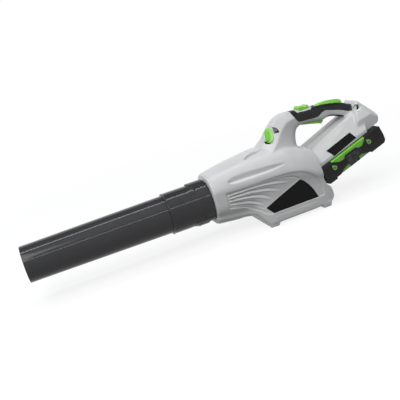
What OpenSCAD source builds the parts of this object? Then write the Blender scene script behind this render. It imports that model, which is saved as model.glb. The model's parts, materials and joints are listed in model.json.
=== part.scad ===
// Handheld cordless leaf blower: axial fan in a clamshell housing, twist-lock blowing
// tube in two lengths, loop handle and a slide-on battery pack.
//
// Millimetres, +Z up.  Modules are drawn from the duct datum: X = 0 is the plane of the
// housing's front rim, X runs to the rear, and the duct axis is at Y = Z = 0.  placed()
// then stands the machine on its feet, with the origin under the middle of its length.

/* [Blowing tube] */
// Length of the nozzle in front of the collar
nozzle_len = 325; // [200:5:420]
// Outer radius of the nozzle at its outlet
nozzle_tip_r = 41; // [36:0.5:43]
// Outer radius of the nozzle where it leaves the collar
nozzle_root_r = 44.2; // [43:0.1:44.6]
// Wall of the nozzle
nozzle_wall = 2; // [1.6:0.1:2.6]
// Length of the straight land at the outlet, which takes attachments
nozzle_land = 30; // [15:1:60]
// Length of the nozzle that plugs into the collar
nozzle_insert = 38; // [25:1:42]
// Length of the collar
collar_len = 101; // [98:1:130]
// Outer radius of the collar
collar_r = 47.8; // [47.4:0.1:48.6]
// Wall of the collar
collar_wall = 2.2; // [1.8:0.1:2.6]

/* [Twist lock] */
// Number of bayonet lugs round the spigot
lug_count = 3; // [2:1:4]
// Length of a lug along the duct
lug_len = 8; // [5:0.5:10]
// Width of a lug, in degrees of the spigot
lug_deg = 9; // [6:1:12]
// Height of a lug above the spigot
lug_h = 2.8; // [2:0.1:3.2]
// Turn from locked to free
twist_deg = 18; // [12:1:24]

/* [Fan and motor] */
// Radius of the fan over its blade tips
fan_r = 50.4; // [48:0.1:50.6]
// Radius of the fan's hub and of the motor pod
hub_r = 26; // [24:0.5:27]
// Number of fan blades
blade_count = 11; // [7:1:13]
// Axial length of the fan's hub
fan_len = 24; // [20:1:28]
// Number of guide vanes behind the fan
vane_count = 7; // [5:1:9]
// Radius of the motor's can
motor_r = 22; // [18:0.5:22.4]
// Length of the motor's can
motor_len = 52; // [40:1:56]
// Radius of the motor's shaft
shaft_r = 4; // [3:0.5:5]

/* [Housing] */
// Wall of the clamshell
wall = 2.8; // [2.4:0.1:3.4]
// Outer radius of the ring at the front of the housing
rim_r = 56; // [54.5:0.5:57]
// Height of the duct's axis above the ground
axis_h = 95; // [92:0.5:100]
// Height of the feet below the skirt
foot_h = 5.5; // [3:0.5:7]
// Half the width across the skirt
skirt_w = 68; // [66:0.5:70]
// Thickness of the rubber over the handle
rubber_t = 2.2; // [1.6:0.1:2.8]
// Thickness of the side badges
badge_t = 1.6; // [1:0.1:2.2]
// Pitch of the slots in the intake grilles
grille_pitch = 9; // [7:0.5:12]

/* [Controls] */
// Half the width of the trigger
trigger_w = 7; // [5:0.5:8]
// Upward squeeze of the trigger
trigger_deg = 7; // [5:0.5:8]
// Half the width of the palm lever
lever_w = 9; // [7:0.5:10]
// Downward squeeze of the palm lever
lever_deg = 4; // [2:0.5:5]
// Length of the boost button
boost_len = 32; // [24:1:34]
// Travel of the boost button
boost_travel = 2.5; // [1:0.5:3]
// Length of the speed slider
slider_len = 30; // [24:1:32]
// Travel of the speed slider
slider_travel = 6; // [3:0.5:7]
// Travel of the battery release button
release_travel = 3; // [1.5:0.5:3.5]

/* [Battery] */
// Slope of the battery's rails, up to the rear
dock_angle = 18; // [15:1:20]
// Length of the pack over its end caps
pack_len = 180; // [176:1:184]
// Half the width of the pack
pack_w = 62; // [61.5:0.5:64]
// Thickness of the pack below its rails
pack_t = 48.5; // [47.5:0.5:54]
// Half the width of the pack's rail head
head_w = 36; // [32:0.5:38]
// Height of the pack's rail head
head_h = 12; // [10:0.5:14]
// Radius of a cell
cell_r = 9; // [8.5:0.1:9.1]
// Length of a cell
cell_len = 65; // [60:1:68]

/* [Hidden] */

$fn = 48;
gap = 0.3;           // running gap between pieces that move apart
seat = 0.15;         // gap between pieces that are only seated together
pin_gap = 0.05;      // running gap round a pin or a shaft

light_grey = [0.74, 0.75, 0.76];
dark_grey = [0.16, 0.16, 0.17];
rubber_black = [0.07, 0.07, 0.08];
green = [0.36, 0.72, 0.18];
steel = [0.66, 0.67, 0.69];
copper = [0.72, 0.42, 0.2];

// Duct radii, from the collar inwards
collar_bore = collar_r - collar_wall;
spigot_r = collar_bore - gap;
spigot_bore = spigot_r - 2.4;
lug_r = spigot_r + lug_h;
channel_r = lug_r + 0.5;
cover_r = channel_r + 1.8;
duct_bore = fan_r + 0.8;
duct_wall = 2.4;

// Stations along the duct
collar_rear = -2;
collar_front = collar_rear - collar_len;
nozzle_front = collar_front - nozzle_len;
spigot_front = -54;
lug_x = spigot_front + 10;
front_x = 5;         // front face of the clamshell, behind the nose ring
hub_front = 96;
fan_rear = 210;
fan_front = fan_rear - fan_len;
motor_rear = fan_front - 8;
motor_front = motor_rear - motor_len;
bell_rear = fan_rear + 22;
block_rear = 459;

ground = -axis_h;
skirt_z = ground + foot_h;
mid_x = (nozzle_front + block_rear) / 2;

module placed() {
    translate([-mid_x, 0, axis_h]) children();
}

// ---------------------------------------------------------------------------- helpers

// Solid between rings of points that all have the same count
module loft(rings) {
    n = len(rings[0]);
    m = len(rings);
    points = [for (ring = rings, p = ring) p];
    walls = [for (j = [0:m - 2], i = [0:n - 1], f = [0, 1])
        let (a = j * n + i, b = j * n + (i + 1) % n)
        f == 0 ? [a, b, a + n] : [b, b + n, a + n]];
    polyhedron(points, concat(walls,
        [[for (i = [n - 1:-1:0]) i], [for (i = [0:n - 1]) (m - 1) * n + i]]));
}

function signed_power(v, p) = sign(v) * pow(abs(v), p);

// Superellipse between a front and a rear point of the side view
function band_ring(front, rear, half_w, power, n) = [for (i = [0:n - 1])
    let (a = 360 * i / n,
         along = signed_power(cos(a), 2 / power) / 2,
         p = (front + rear) / 2 + (front - rear) * along)
    [p.x, half_w * signed_power(sin(a), 2 / power), p.y]];

// Quadratic B-spline round a closed polygon
function rounded(c, steps) = let (n = len(c)) [for (i = [0:n - 1], k = [0:steps - 1])
    let (t = k / steps, p = c[(i + n - 1) % n], q = c[i], r = c[(i + 1) % n])
    p * (1 - t) * (1 - t) / 2 + q * (0.5 + t - t * t) + r * t * t / 2];

// Side view polygon, drawn from y0 to y1
module side(y0, y1, points) {
    translate([0, y1, 0]) rotate([90, 0, 0]) linear_extrude(y1 - y0) polygon(points);
}

// Side view plate whose corners are rounded, spanned by hulls from its middle point
module round_plate(y0, y1, middle, points, r) {
    for (i = [0:len(points) - 1]) hull() {
        for (p = [middle, points[i], points[(i + 1) % len(points)]])
            pin_y(p.x, p.y, r, y0, y1, 12);
    }
}

// Everything above a line of side view points, spanned by a hull for each stretch
module above_line(half_w, points, top) {
    for (i = [0:len(points) - 2]) hull() {
        for (p = [points[i], points[i + 1]])
            translate([p.x, -half_w, p.y]) cube([0.01, 2 * half_w, top - p.y]);
    }
}

// Revolves a profile of [radius, station] points round the duct's axis
module about_duct(points) {
    rotate([0, 90, 0]) rotate_extrude($fn = 96) polygon(points);
}

// Part of a ring round the duct's axis; angles run from the keel towards +Y
module sector(r0, r1, x0, x1, a0, a1) {
    reach = 2 * r1;
    intersection() {
        about_duct([[r0, x0], [r1, x0], [r1, x1], [r0, x1]]);
        translate([x0 - 1, 0, 0]) rotate([0, 90, 0]) linear_extrude(x1 - x0 + 2)
            polygon([[0, 0], reach * [cos(a0), sin(a0)], reach * [cos(a1), sin(a1)]]);
    }
}

module rod(r, x0, x1) {
    translate([x0, 0, 0]) rotate([0, 90, 0]) cylinder(r = r, h = x1 - x0);
}

module pin_y(x, z, r, y0, y1, fn = 48) {
    translate([x, y1, z]) rotate([90, 0, 0]) cylinder(r = r, h = y1 - y0, $fn = fn);
}

// Rounded box standing on z = 0, centred in X and Y
module pad(size, r, fn = 20) {
    linear_extrude(size.z) hull() {
        for (x = [-1, 1], y = [-1, 1])
            translate([x * (size.x / 2 - r), y * (size.y / 2 - r)]) circle(r, $fn = fn);
    }
}

// Tube of round section along points that lie in the plane y = offset
module wire(points, r, sides) {
    n = len(points);
    loft([for (i = [0:n - 1])
        let (a = points[max(i - 1, 0)], b = points[min(i + 1, n - 1)],
             d = (b - a) / norm(b - a), s = [0, 1, 0], u = cross(d, s))
        [for (k = [0:sides - 1]) points[i]
            + r * (cos(360 * k / sides) * u / norm(u) + sin(360 * k / sides) * s)]]);
}

// Compression spring standing on z = 0
module coil(r, wire_r, height, turns) {
    steps = 9;
    sides = 4;
    rise = (height - 2 * wire_r) / (turns * steps);
    loft([for (i = [0:turns * steps])
        let (a = 360 * i / steps, c = [r * cos(a), r * sin(a), wire_r + rise * i])
        [for (k = [0:sides - 1])
            let (b = 360 * k / sides)
            c + wire_r * (cos(b) * [cos(a), sin(a), 0] + sin(b) * [0, 0, 1])]]);
}

module left_or_right(side_sign) {
    if (side_sign < 0) children();
    else mirror([0, 1, 0]) children();
}

// ---------------------------------------------------------------------- housing forms

// Each row: station, roof height, roof half width, shoulder half width, shoulder height,
// side half width, corner half width, corner height, keel height
body_rows = [
    [front_x, 61, 20, 55, 20, 55, 42, -44, -57],
    [18, 64, 21, 57, 22, 57, 43, -46, -59],
    [48, 69, 22, 61, 23, 60, 46, -50, -63],
    [78, 73, 24, 66, 24, 63, 52, -57, -69],
    [96, 75, 25, 69, 24, 65, 63, -74, -77],
    [114, 76.5, 26, 71.5, 24, skirt_w - 1, skirt_w, skirt_z, skirt_z],
    [148, 78.5, 27, 74.5, 23, skirt_w, skirt_w, skirt_z, skirt_z],
    [188, 75, 28, 77, 19, skirt_w + 1, skirt_w, skirt_z, skirt_z],
    [223, 63, 30, 77, 9, skirt_w + 1, skirt_w, skirt_z, skirt_z],
    [248, 52, 32, 75, -4, skirt_w + 1, skirt_w, skirt_z, skirt_z],
    [268, 41, 32, 71, -16, skirt_w, skirt_w - 1, skirt_z, skirt_z],
    [285, 26, 30, 66, -24, skirt_w - 3, skirt_w - 4, skirt_z + 6, skirt_z + 6]];

function body_ring(row, t) = let (
    roof_z = row[1] - t, roof_w = row[2] - t / 2, shoulder_w = row[3] - t,
    shoulder_z = row[4] - t / 2, side_w = row[5] - t, corner_w = row[6] - t,
    corner_z = row[7] + t, keel_z = row[8] + t,
    half = [[roof_w, roof_z],
        [roof_w + 0.66 * (shoulder_w - roof_w), shoulder_z + 0.72 * (roof_z - shoulder_z)],
        [shoulder_w, shoulder_z + 6], [shoulder_w, shoulder_z - 5],
        [side_w, -20], [corner_w, corner_z + 12], [corner_w, corner_z],
        [corner_w * 0.55, keel_z]],
    whole = concat(half, [for (i = [len(half) - 1:-1:0]) [-half[i].x, half[i].y]]))
    [for (p = rounded(whole, 2)) [row[0], p.x, p.y]];

// Side view of the body behind the fan: it stops in front of the pack and below it
body_cut = [[-10, -120], [262, -120], [272, skirt_z], [284, -74], [282, -52],
    [276, -46], [270, -41], [264, -25], [263, 40], [263, 140], [-10, 140]];

module body_form(t) {
    intersection() {
        loft([for (row = body_rows) body_ring(row, t)]);
        side(-100, 100, [for (p = body_cut) p.x > 200 ? [p.x - t, p.y] : p]);
    }
}

// Each row: front or top point, rear or under point, half width, superellipse power
handle_rows = [
    [[122, 54], [252, 34], 42, 2.2], [[150, 80], [243, 58], 33, 2.4],
    [[165, 93], [245, 71], 29, 2.6], [[179, 110], [249, 83], 26.5, 2.8],
    [[193, 124], [254, 92], 25, 2.8], [[208, 134.5], [259, 97], 24, 2.8],
    [[225, 138.5], [266, 100.5], 23, 2.8], [[245, 137.5], [274, 101.5], 21, 2.8],
    [[267, 135], [286, 101.5], 19.5, 2.8], [[298, 132], [303, 101], 18, 2.8],
    [[328, 128], [326, 99.5], 17.5, 2.8], [[352, 123.5], [346, 96.5], 17, 2.8],
    [[375, 117], [364, 90.5], 17, 2.8], [[397, 108], [379, 82.5], 18, 2.8],
    [[413, 97], [389, 69], 20, 2.6]];

module handle_form(t) {
    loft([for (row = handle_rows)
        let (along = row[0] - row[1], u = along / norm(along))
        band_ring(row[0] - u * t, row[1] + u * t, row[2] - t, row[3], 16)]);
}

// Frame of the battery rails: x along them to the rear, z = 0 on top of the pack
dock_origin = [267, 0, -1.3];

module in_dock() {
    translate(dock_origin) rotate([0, -dock_angle, 0]) children();
}

module above_dock(z) {
    in_dock() translate([-150, -150, z]) cube([450, 300, 300]);
}

function dock_z(x) = dock_origin.z + (x - dock_origin.x) * tan(dock_angle);
function slab_z(x) = 48.5 + (x - 283) * 0.39;

slab_front = 240;
slab_rear = 405;
slab_top_w = 27;
slab_low_w = 55;
slab_lip = 8;

module slab_section(x, t) {
    translate([x, 0, 0]) rotate([90, 0, 90]) linear_extrude(1)
        polygon([[-slab_top_w + t / 2, slab_z(x) - t], [slab_top_w - t / 2, slab_z(x) - t],
            [slab_low_w - t, dock_z(x) + slab_lip], [slab_low_w - t, dock_z(x) - 2],
            [-slab_low_w + t, dock_z(x) - 2], [-slab_low_w + t, dock_z(x) + slab_lip]]);
}

module slab_form(t) {
    hull() {
        slab_section(slab_front + t, t);
        slab_section(slab_rear - t, t);
    }
}

block_top = [[376, 108], [387, 117], [402, 116], [416, 107], [449, 76], [block_rear, 65],
    [456, 50], [400, 28], [372, 70]];
block_side = [[386, 72], [399, 71], [424, 82], [443, 68], [440, 51], [398, 33], [384, 29]];
block_tail = [[440, 80], [block_rear, 65], [456, 50], [440, 45]];

function shrunk(points, middle, t) = [for (p = points) p - t * (p - middle) / norm(p - middle)];

module block_form(t) {
    hull() {
        side(-25 + t, 25 - t, shrunk(block_top, [415, 75], t * 1.1));
        side(-47 + t, 47 - t, shrunk(block_side, [415, 58], t * 1.1));
        side(-41 + t, 41 - t, shrunk(block_tail, [415, 58], t * 1.1));
    }
}

// -------------------------------------------------------------------- housing details

handle_wall = rubber_t + 2.4;
floor_t = 2.4;
dock_half = head_w + 4.5;

// Lower edge of the rubber on the handle's side
rubber_edge = [[243, 134], [249, 121], [257, 110], [283, 107], [309, 104], [320, 108],
    [329, 114], [342, 112], [355, 109], [368, 105], [380, 100], [391, 96.5], [398, 99]];

// Side view of the black pad under the fingers
pad_edge = [[325, 92], [328, 98], [333, 101.5], [343, 101], [353, 98.5], [363, 95],
    [372, 91], [379, 86], [381, 80]];

badge_middle = [190, -40];
badge_outline = [[199, -6.5], [209, -14], [218, -23], [225, -33], [231, -45], [235, -57],
    [180, -57.6], [127, -58], [112, -43.5]];
label_outline = [[294, 30], [364, 54], [373, 39], [308, 14]];

trigger_pivot = [268, 108];
lever_pivot = [316, 119];

// Slots that the levers and buttons work in, in the side view
trigger_slot = [[261.5, 90], [261.5, 113], [327.5, 113], [327.5, 85]];
lever_slot = [[307, 116], [307, 145], [387, 145],
    [387, 109 - (387 - lever_pivot.x) * sin(lever_deg)]];

boost_width = 15;
bezel_rim = 5;
bezel_seat_z = -5.2;
plunger_z = bezel_seat_z - 4;
boost_floor_z = plunger_z - boost_travel - 2;

module in_boost() {
    translate([274, 0, 134.3]) rotate([0, 5.5, 0]) children();
}

module bezel_pocket() {
    rim = 2 * bezel_rim + 2 * seat;
    translate([0, 0, boost_floor_z]) pad([boost_len + rim, boost_width + rim, 30], 5);
}

// The slider's frame: x up the neck, z out of its front face
slider_width = 15;

module in_slider() {
    translate([179, -3, 107]) rotate([0, -49, 0]) children();
}

module in_icon() {
    translate([190.6, -20.7, 111.4]) rotate([0, -49, 0]) rotate([54, 0, 0]) children();
}

// The release button's frame: x down the rear slope, z out of the block
module in_release() {
    translate([434, 0, 89.6]) rotate([0, 45, 0]) children();
}

release_size = [32, 26];
release_web_z = -22;
stem_len = 28;
stem_r = 3;

pivot_r = 2;
pivot_reach = 12;

screw_r = 1.9;
screw_head_r = 3.6;
// Each screw: side view place, depth of its head, reach of its thread and its head's side
screws = [[[401, 104], 15, 12, -1], [[222, 76], 15, 12, 1], [[70, 60], 28, 12, 1],
    [[60, -57], 22, 12, 1], [[258, -76], 55, 12, 1], [[122, -80], 55, 12, 1]];

module outer_form() {
    body_form(0);
    slab_form(0);
    block_form(0);
    difference() {
        handle_form(0);
        difference() {
            union() {
                rubber_zone(0);
                pad_zone(0);
            }
            handle_form(rubber_t + seat);
        }
    }
    for (x = [111, 250]) hull() {
        translate([x, -skirt_w + 1, ground]) cube([20, 2 * skirt_w - 2, 0.5]);
        translate([x - 1, -skirt_w, skirt_z + 4]) cube([24, 2 * skirt_w, 0.5]);
    }
}

module rubber_zone(t) {
    above_line(40, [for (p = rubber_edge) [p.x, p.y + t]], 150);
}

module pad_zone(t) {
    difference() {
        translate([pad_edge[0].x + t, -40, 70]) cube([381 - pad_edge[0].x - 2 * t, 80, 40]);
        above_line(41, [for (p = pad_edge) [p.x, p.y - t]], 120);
    }
}

module inner_form() {
    intersection() {
        body_form(wall);
        translate([front_x + wall, -100, -120]) cube([300, 200, 300]);
    }
    handle_form(handle_wall);
    intersection() {
        union() {
            slab_form(wall);
            block_form(wall);
        }
        above_dock(gap + floor_t);
    }
}

// Webs inside the clamshell that carry the fan duct
module duct_webs() {
    for (x = [60, 180]) intersection() {
        body_form(wall / 2);
        translate([x, -100, -100]) cube([2.4, 200, 200]);
    }
}

function duct_r_at(x) = x > hub_front ? duct_bore + duct_wall
    : spigot_bore + (duct_bore - spigot_bore) * (x - front_x) / (hub_front - front_x) + duct_wall;

module screw_bosses() {
    intersection() {
        union() {
            for (s = screws) pin_y(s[0].x, s[0].y, 5, -90, 90, 12);
            for (p = [concat(trigger_pivot, trigger_w), concat(lever_pivot, lever_w)]) {
                pin_y(p[0], p[1], 4.5, -40, -p[2] - 2 * gap, 12);
                pin_y(p[0], p[1], 4.5, p[2] + 2 * gap, 40, 12);
            }
            // Ribs that hold the trigger's switch from both sides
            for (y = [-40, 5 + seat])
                translate([switch_x - 8, y, switch_z + 1]) cube([16, 35 - seat, 3]);
        }
        union() {
            body_form(wall / 2);
            handle_form(rubber_t + seat + 0.5);
            block_form(wall / 2);
        }
    }
}

module openings_in_housing() {
    rod(spigot_r + seat, front_x - 1, front_x + wall + 1);
    side(-trigger_w - gap - 0.2, trigger_w + gap + 0.2, trigger_slot);
    side(-lever_w - gap - 0.2, lever_w + gap + 0.2, lever_slot);
    in_boost() bezel_pocket();
    in_slider() {
        translate([0, 0, -16]) pad([slider_len - 4 + slider_travel, slider_width - 6, 40], 4);
        pad([slider_len + slider_travel + 2, slider_width + 1.2, 30], slider_width / 2 - 0.5);
    }
    in_release() translate([0, 0, -5 - release_travel])
        pad([release_size.x + 2 * gap, release_size.y + 2 * gap, 30], 6);
    in_release() translate([0, 0, release_web_z - 1]) cylinder(r = stem_r + 2 * gap, h = 5);
    translate([floor_intake_x - floor_intake.x / 2, -floor_intake.y / 2 - seat, ground - 1])
        cube([floor_intake.x, floor_intake.y + 2 * seat, 16]);
    translate([rear_intake_x - 11, -rear_intake.x / 2 - seat, rear_intake_z - rear_intake.y / 2])
        cube([30, rear_intake.x + 2 * seat, rear_intake.y]);
    in_dock() {
        translate([-6, -dock_half - seat, -1]) cube([pack_len - 2, 2 * dock_half + 2 * seat, 8]);
        translate([-4, -100, -50]) cube([300, 200, 50 + gap]);
        translate([100, -head_w - gap, -1]) cube([160, 2 * head_w + 2 * gap, head_h + gap + 1]);
    }
    for (p = [trigger_pivot, lever_pivot])
        pin_y(p.x, p.y, pivot_r + seat, -pivot_reach - 0.2, pivot_reach + 0.2, 16);
}

module housing_half(side_sign) {
    color(light_grey) difference() {
        intersection() {
            union() {
                difference() {
                    outer_form();
                    inner_form();
                }
                difference() {
                    duct_webs();
                    rod(duct_r_at(61.2) + 0.6, 50, 100);
                    rod(duct_r_at(180) + seat, 170, 190);
                    translate([170, -8, 50]) cube([20, 16, 16]);
                    translate([170, -60, -100]) cube([20, 120, 42]);
                }
                screw_bosses();
                intersection() {
                    block_form(wall / 2);
                    in_release() translate([-12, -60, release_web_z]) cube([24, 120, 2.4]);
                }
            }
            translate([-10, side_sign < 0 ? -200 : 0, -200]) cube([600, 200, 500]);
        }
        openings_in_housing();
        badge_pocket();
        mirror([0, 1, 0]) badge_pocket();
        label_pocket();
        mirror([0, 1, 0]) label_pocket();
        in_icon() translate([0, 0, -1.2]) pad([18 + 2 * seat, 15 + 2 * seat, 20], 3);
        for (s = screws) left_or_right(s[3]) {
            pin_y(s[0].x, s[0].y, screw_r + 0.25, -s[1] - 1, 1, 12);
            pin_y(s[0].x, s[0].y, screw_head_r + 0.4, -100, -s[1], 12);
            pin_y(s[0].x, s[0].y, screw_r + 0.1, -1, s[2] + 1, 12);
        }
        // Air space round the duct stays open where the bosses would cross it
        rod(duct_bore + duct_wall + seat, 96, 200);
    }
}

module badge_pocket() {
    difference() {
        round_plate(-90, -40, badge_middle, badge_outline, 2 + seat);
        body_form(badge_t + seat);
    }
}

module label_pocket() {
    difference() {
        side(-60, -30, label_outline);
        slab_form(1 + seat);
    }
}

module badge(side_sign) {
    color(rubber_black) left_or_right(side_sign) intersection() {
        round_plate(-90, -40, badge_middle, badge_outline, 2);
        difference() {
            body_form(0);
            body_form(badge_t);
        }
    }
}

module label(side_sign) {
    color(rubber_black) left_or_right(side_sign) intersection() {
        side(-60, -30, shrunk(label_outline, [333, 34], seat * 2));
        difference() {
            slab_form(0);
            slab_form(1);
        }
    }
}

module housing_left() { housing_half(-1); }
module housing_right() { housing_half(1); }
module badge_left() { badge(-1); }
module badge_right() { badge(1); }
module label_left() { label(-1); }
module label_right() { label(1); }

module nose_ring() {
    color(light_grey) about_duct([[spigot_r + seat, 0], [rim_r - 2.5, 0], [rim_r - 0.8, 0.8],
        [rim_r, 2.6], [rim_r - 0.4, front_x], [spigot_r + seat, front_x]]);
}

// ------------------------------------------------------------------- handle and controls

module grip(side_sign) {
    color(rubber_black) left_or_right(side_sign) difference() {
        intersection() {
            handle_form(0);
            rubber_zone(seat);
            translate([0, -60, 0]) cube([600, 60, 300]);
        }
        handle_form(rubber_t);
        block_form(-seat);
        side(-lever_w - gap - 0.2, lever_w + gap + 0.2, lever_slot);
        in_boost() bezel_pocket();
    }
}

module grip_left() { grip(-1); }
module grip_right() { grip(1); }

module underhandle_pad() {
    color(rubber_black) difference() {
        intersection() {
            handle_form(0);
            pad_zone(seat);
        }
        handle_form(rubber_t);
        block_form(-seat);
        side(-trigger_w - gap - 0.2, trigger_w + gap + 0.2, trigger_slot);
    }
}

module icon_plate() {
    color(rubber_black) in_icon() translate([0, 0, -1.2 + seat]) pad([18, 15, 1.8], 3);
}

module boost_bezel() {
    length = boost_len + 2 * bezel_rim;
    color(light_grey) in_boost() difference() {
        translate([0, 0, bezel_seat_z]) pad([length, boost_width + 2 * bezel_rim, 1.4 - bezel_seat_z], 5);
        translate([0, 0, boost_floor_z]) pad([boost_len + 2 * gap, boost_width + 2 * gap, 30], 4);
    }
}

// Button with a dished top, a retaining flange under its bezel and a plunger
module boost_button() {
    color(green) in_boost() difference() {
        union() {
            translate([0, 0, bezel_seat_z - 1]) pad([boost_len, boost_width, 8.2 - bezel_seat_z], 4);
            translate([0, 0, bezel_seat_z - gap - 1.6]) pad([boost_len + 6, boost_width + 4, 1.6], 4);
            translate([0, 0, plunger_z]) cylinder(r = 3, h = 3);
        }
        translate([0, 0, 40 + 5.6]) rotate([90, 0, 0]) cylinder(r = 40, h = 40, center = true);
    }
}

module speed_slider() {
    color(green) in_slider() union() {
        difference() {
            translate([0, 0, gap]) pad([slider_len, slider_width, 4.4], slider_width / 2 - 0.5);
            translate([0, 0, 30 + 3.6]) rotate([90, 0, 0]) cylinder(r = 30, h = 40, center = true);
        }
        translate([0, 0, 3.4]) for (x = [-3, 0, 3]) translate([x, 0, 0]) pad([1.2, 9, 0.8], 0.5);
        translate([0, 0, -7]) pad([slider_len - 6, slider_width - 7, 7.5], 3.4);
    }
}

// Slide potentiometer whose slot takes the slider's foot
module speed_switch() {
    color(dark_grey) in_slider() difference() {
        translate([0, 0, -14]) pad([slider_len + 8, slider_width + 1, 8], 1.5);
        translate([0, 0, -7 - gap])
            pad([slider_len - 6 + slider_travel + 2 * gap, slider_width - 7 + 2 * gap, 8], 3.6);
    }
}

lever_outline = [[309, 127], [312, 132.2], [320, 134.2], [332, 135.4], [344, 135], [356, 133.4],
    [368, 131.2], [377, 129], [383, 125.5], [384.5, 121], [382, 113], [376, 111], [352, 115.5],
    [322, 114.5], [312, 115], [308.5, 120]];

module palm_lever() {
    color(green) difference() {
        intersection() {
            side(-lever_w, lever_w, lever_outline);
            hull() {
                side(-lever_w, lever_w, [for (p = lever_outline) [p.x, min(p.y, slab_top(p.x))]]);
                side(-lever_w + 3.5, lever_w - 3.5, lever_outline);
            }
        }
        pin_y(lever_pivot.x, lever_pivot.y, pivot_r + pin_gap, -lever_w - 1, lever_w + 1);
    }
}

// Height at which the lever's edges start to round off
function slab_top(x) = 131 - (x - 309) * 0.1;

module pivot_pin(pivot) {
    color(steel) pin_y(pivot.x, pivot.y, pivot_r, -pivot_reach, pivot_reach);
}

module lever_pin() { pivot_pin(lever_pivot); }
module trigger_pin() { pivot_pin(trigger_pivot); }

trigger_top = 111;
trigger_outline = [[262.5, 103], [264, 99], [272, 97.4], [286, 94.6], [300, 91.4], [311, 88.4],
    [318.5, 86], [321.5, 88.5], [324, 93.5], [324.5, 99], [321, 104], [312, 107],
    [301, trigger_top], [290, trigger_top], [284, 113], [270, 113], [264.5, 110]];

module trigger() {
    color(green) difference() {
        intersection() {
            side(-trigger_w, trigger_w, trigger_outline);
            hull() {
                side(-trigger_w, trigger_w, [for (p = trigger_outline) [p.x, max(p.y, 98)]]);
                side(-trigger_w + 2.5, trigger_w - 2.5, trigger_outline);
            }
        }
        pin_y(trigger_pivot.x, trigger_pivot.y, pivot_r + pin_gap, -trigger_w - 1, trigger_w + 1);
    }
}

trigger_spring_x = 295.5;
trigger_spring_z = trigger_top + gap;

module trigger_spring() {
    color(steel) translate([trigger_spring_x, 0, trigger_spring_z])
        coil(3.2, 0.5, 127 - trigger_spring_z, 5);
}

lever_spring_x = 362;

module lever_spring() {
    color(steel) translate([lever_spring_x, 0, 97.5]) coil(4.2, 0.6, 112.6 - 97.5, 5);
}

// Microswitch over the trigger, whose plunger the trigger meets at full pull
switch_x = 280;
plunger_r = 1.4;
trigger_up = trigger_pivot.y + (switch_x - trigger_pivot.x) * sin(trigger_deg) + 5 * cos(trigger_deg);
switch_z = trigger_up + gap + 2 * plunger_r - 0.6;
switch_h = 5;

module trigger_switch() {
    color(dark_grey) union() {
        translate([switch_x - 10, -5, switch_z]) cube([20, 10, switch_h]);
        pin_y(switch_x, switch_z - plunger_r + 0.6, plunger_r, -1.5, 1.5);
    }
}

module housing_screws() {
    color(steel) for (s = screws) left_or_right(s[3]) {
        difference() {
            union() {
                pin_y(s[0].x, s[0].y, screw_r, -s[1] - 0.5, s[2]);
                pin_y(s[0].x, s[0].y, screw_head_r, -s[1] - 2.6, -s[1] - 0.05);
            }
            pin_y(s[0].x, s[0].y, 1.6, -s[1] - 3, -s[1] - 1.2, 6);
        }
    }
}

// ------------------------------------------------------------------------- duct and fan

function lug_angle(i) = 214 + 360 * i / lug_count;

module fan_duct() {
    flange_x = front_x + wall + seat;
    bell_steps = 5;
    bell_r = 55.5;
    bell = [for (i = [1:bell_steps])
        let (a = 90 * i / bell_steps, h = bell_rear - fan_rear - 4)
        [duct_bore + (bell_r - duct_bore - 2) * (1 - cos(a)), fan_rear + 4 + h * sin(a)]];
    color(dark_grey) {
        about_duct(concat(
            [[spigot_bore, spigot_front], [spigot_bore, front_x], [duct_bore, hub_front],
             [duct_bore, fan_rear + 4]],
            bell,
            [[bell_r, bell_rear], [bell_r, bell_rear - 2.4], [duct_bore + duct_wall + 1.4, bell_rear - 10],
             [duct_bore + duct_wall, fan_rear + 4], [duct_bore + duct_wall, hub_front],
             [duct_r_at(flange_x + 2.4), flange_x + 2.4], [50.4, flange_x + 2.4],
             [50.4, flange_x], [spigot_r, flange_x], [spigot_r, spigot_front + 1],
             [spigot_r - 1, spigot_front]]));
        for (i = [0:lug_count - 1])
            sector(spigot_r - 1, lug_r, lug_x, lug_x + lug_len,
                lug_angle(i) - lug_deg / 2, lug_angle(i) + lug_deg / 2);
    }
}

hub_wall = 2.4;
vane_front = 112;
vane_rear = 172;
vane_ring = 1.8;

// Tail cone, motor pod, guide vanes and their outer ring
module stator_vanes() {
    nose_steps = 6;
    nose_len = 40;
    function nose(r, l) = [for (i = [0:nose_steps])
        let (a = 90 * i / nose_steps) [r * sin(a), hub_front - l * cos(a)]];
    inner_nose = [for (i = [nose_steps:-1:0]) nose(hub_r - hub_wall, nose_len - hub_wall)[i]];
    color(dark_grey) {
        about_duct(concat(nose(hub_r, nose_len),
            [[hub_r, fan_front - 1.5], [hub_r - hub_wall, fan_front - 1.5],
             [hub_r - hub_wall, motor_front - seat], [7, motor_front - seat],
             [7, motor_front - 3], [hub_r - hub_wall, motor_front - 3]],
            inner_nose));
        about_duct([[duct_bore - seat - vane_ring, vane_front - 6], [duct_bore - seat, vane_front - 6],
            [duct_bore - seat, vane_rear + 6], [duct_bore - seat - vane_ring, vane_rear + 6]]);
        for (i = [0:vane_count - 1]) rotate([360 * i / vane_count + 12, 0, 0])
            translate([0, 0, hub_r - 1]) linear_extrude(duct_bore - hub_r - seat)
                polygon(vane_section(vane_rear - vane_front, 9, 3.2, vane_front));
    }
}

// Cambered blade section along X: chord, offset of its rear end and thickness
function vane_section(chord, swing, thick, x0, n = 7) = concat(
    [for (i = [0:n]) let (s = i / n)
        [x0 + chord * s, swing * s * s + thick / 2 * sin(180 * pow(s, 0.7))]],
    [for (i = [n - 1:-1:1]) let (s = i / n)
        [x0 + chord * s, swing * s * s - thick / 2 * sin(180 * pow(s, 0.7))]]);

bearing_r = 9.5;
bearing_w = 6;
can_cap = 8;

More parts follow.
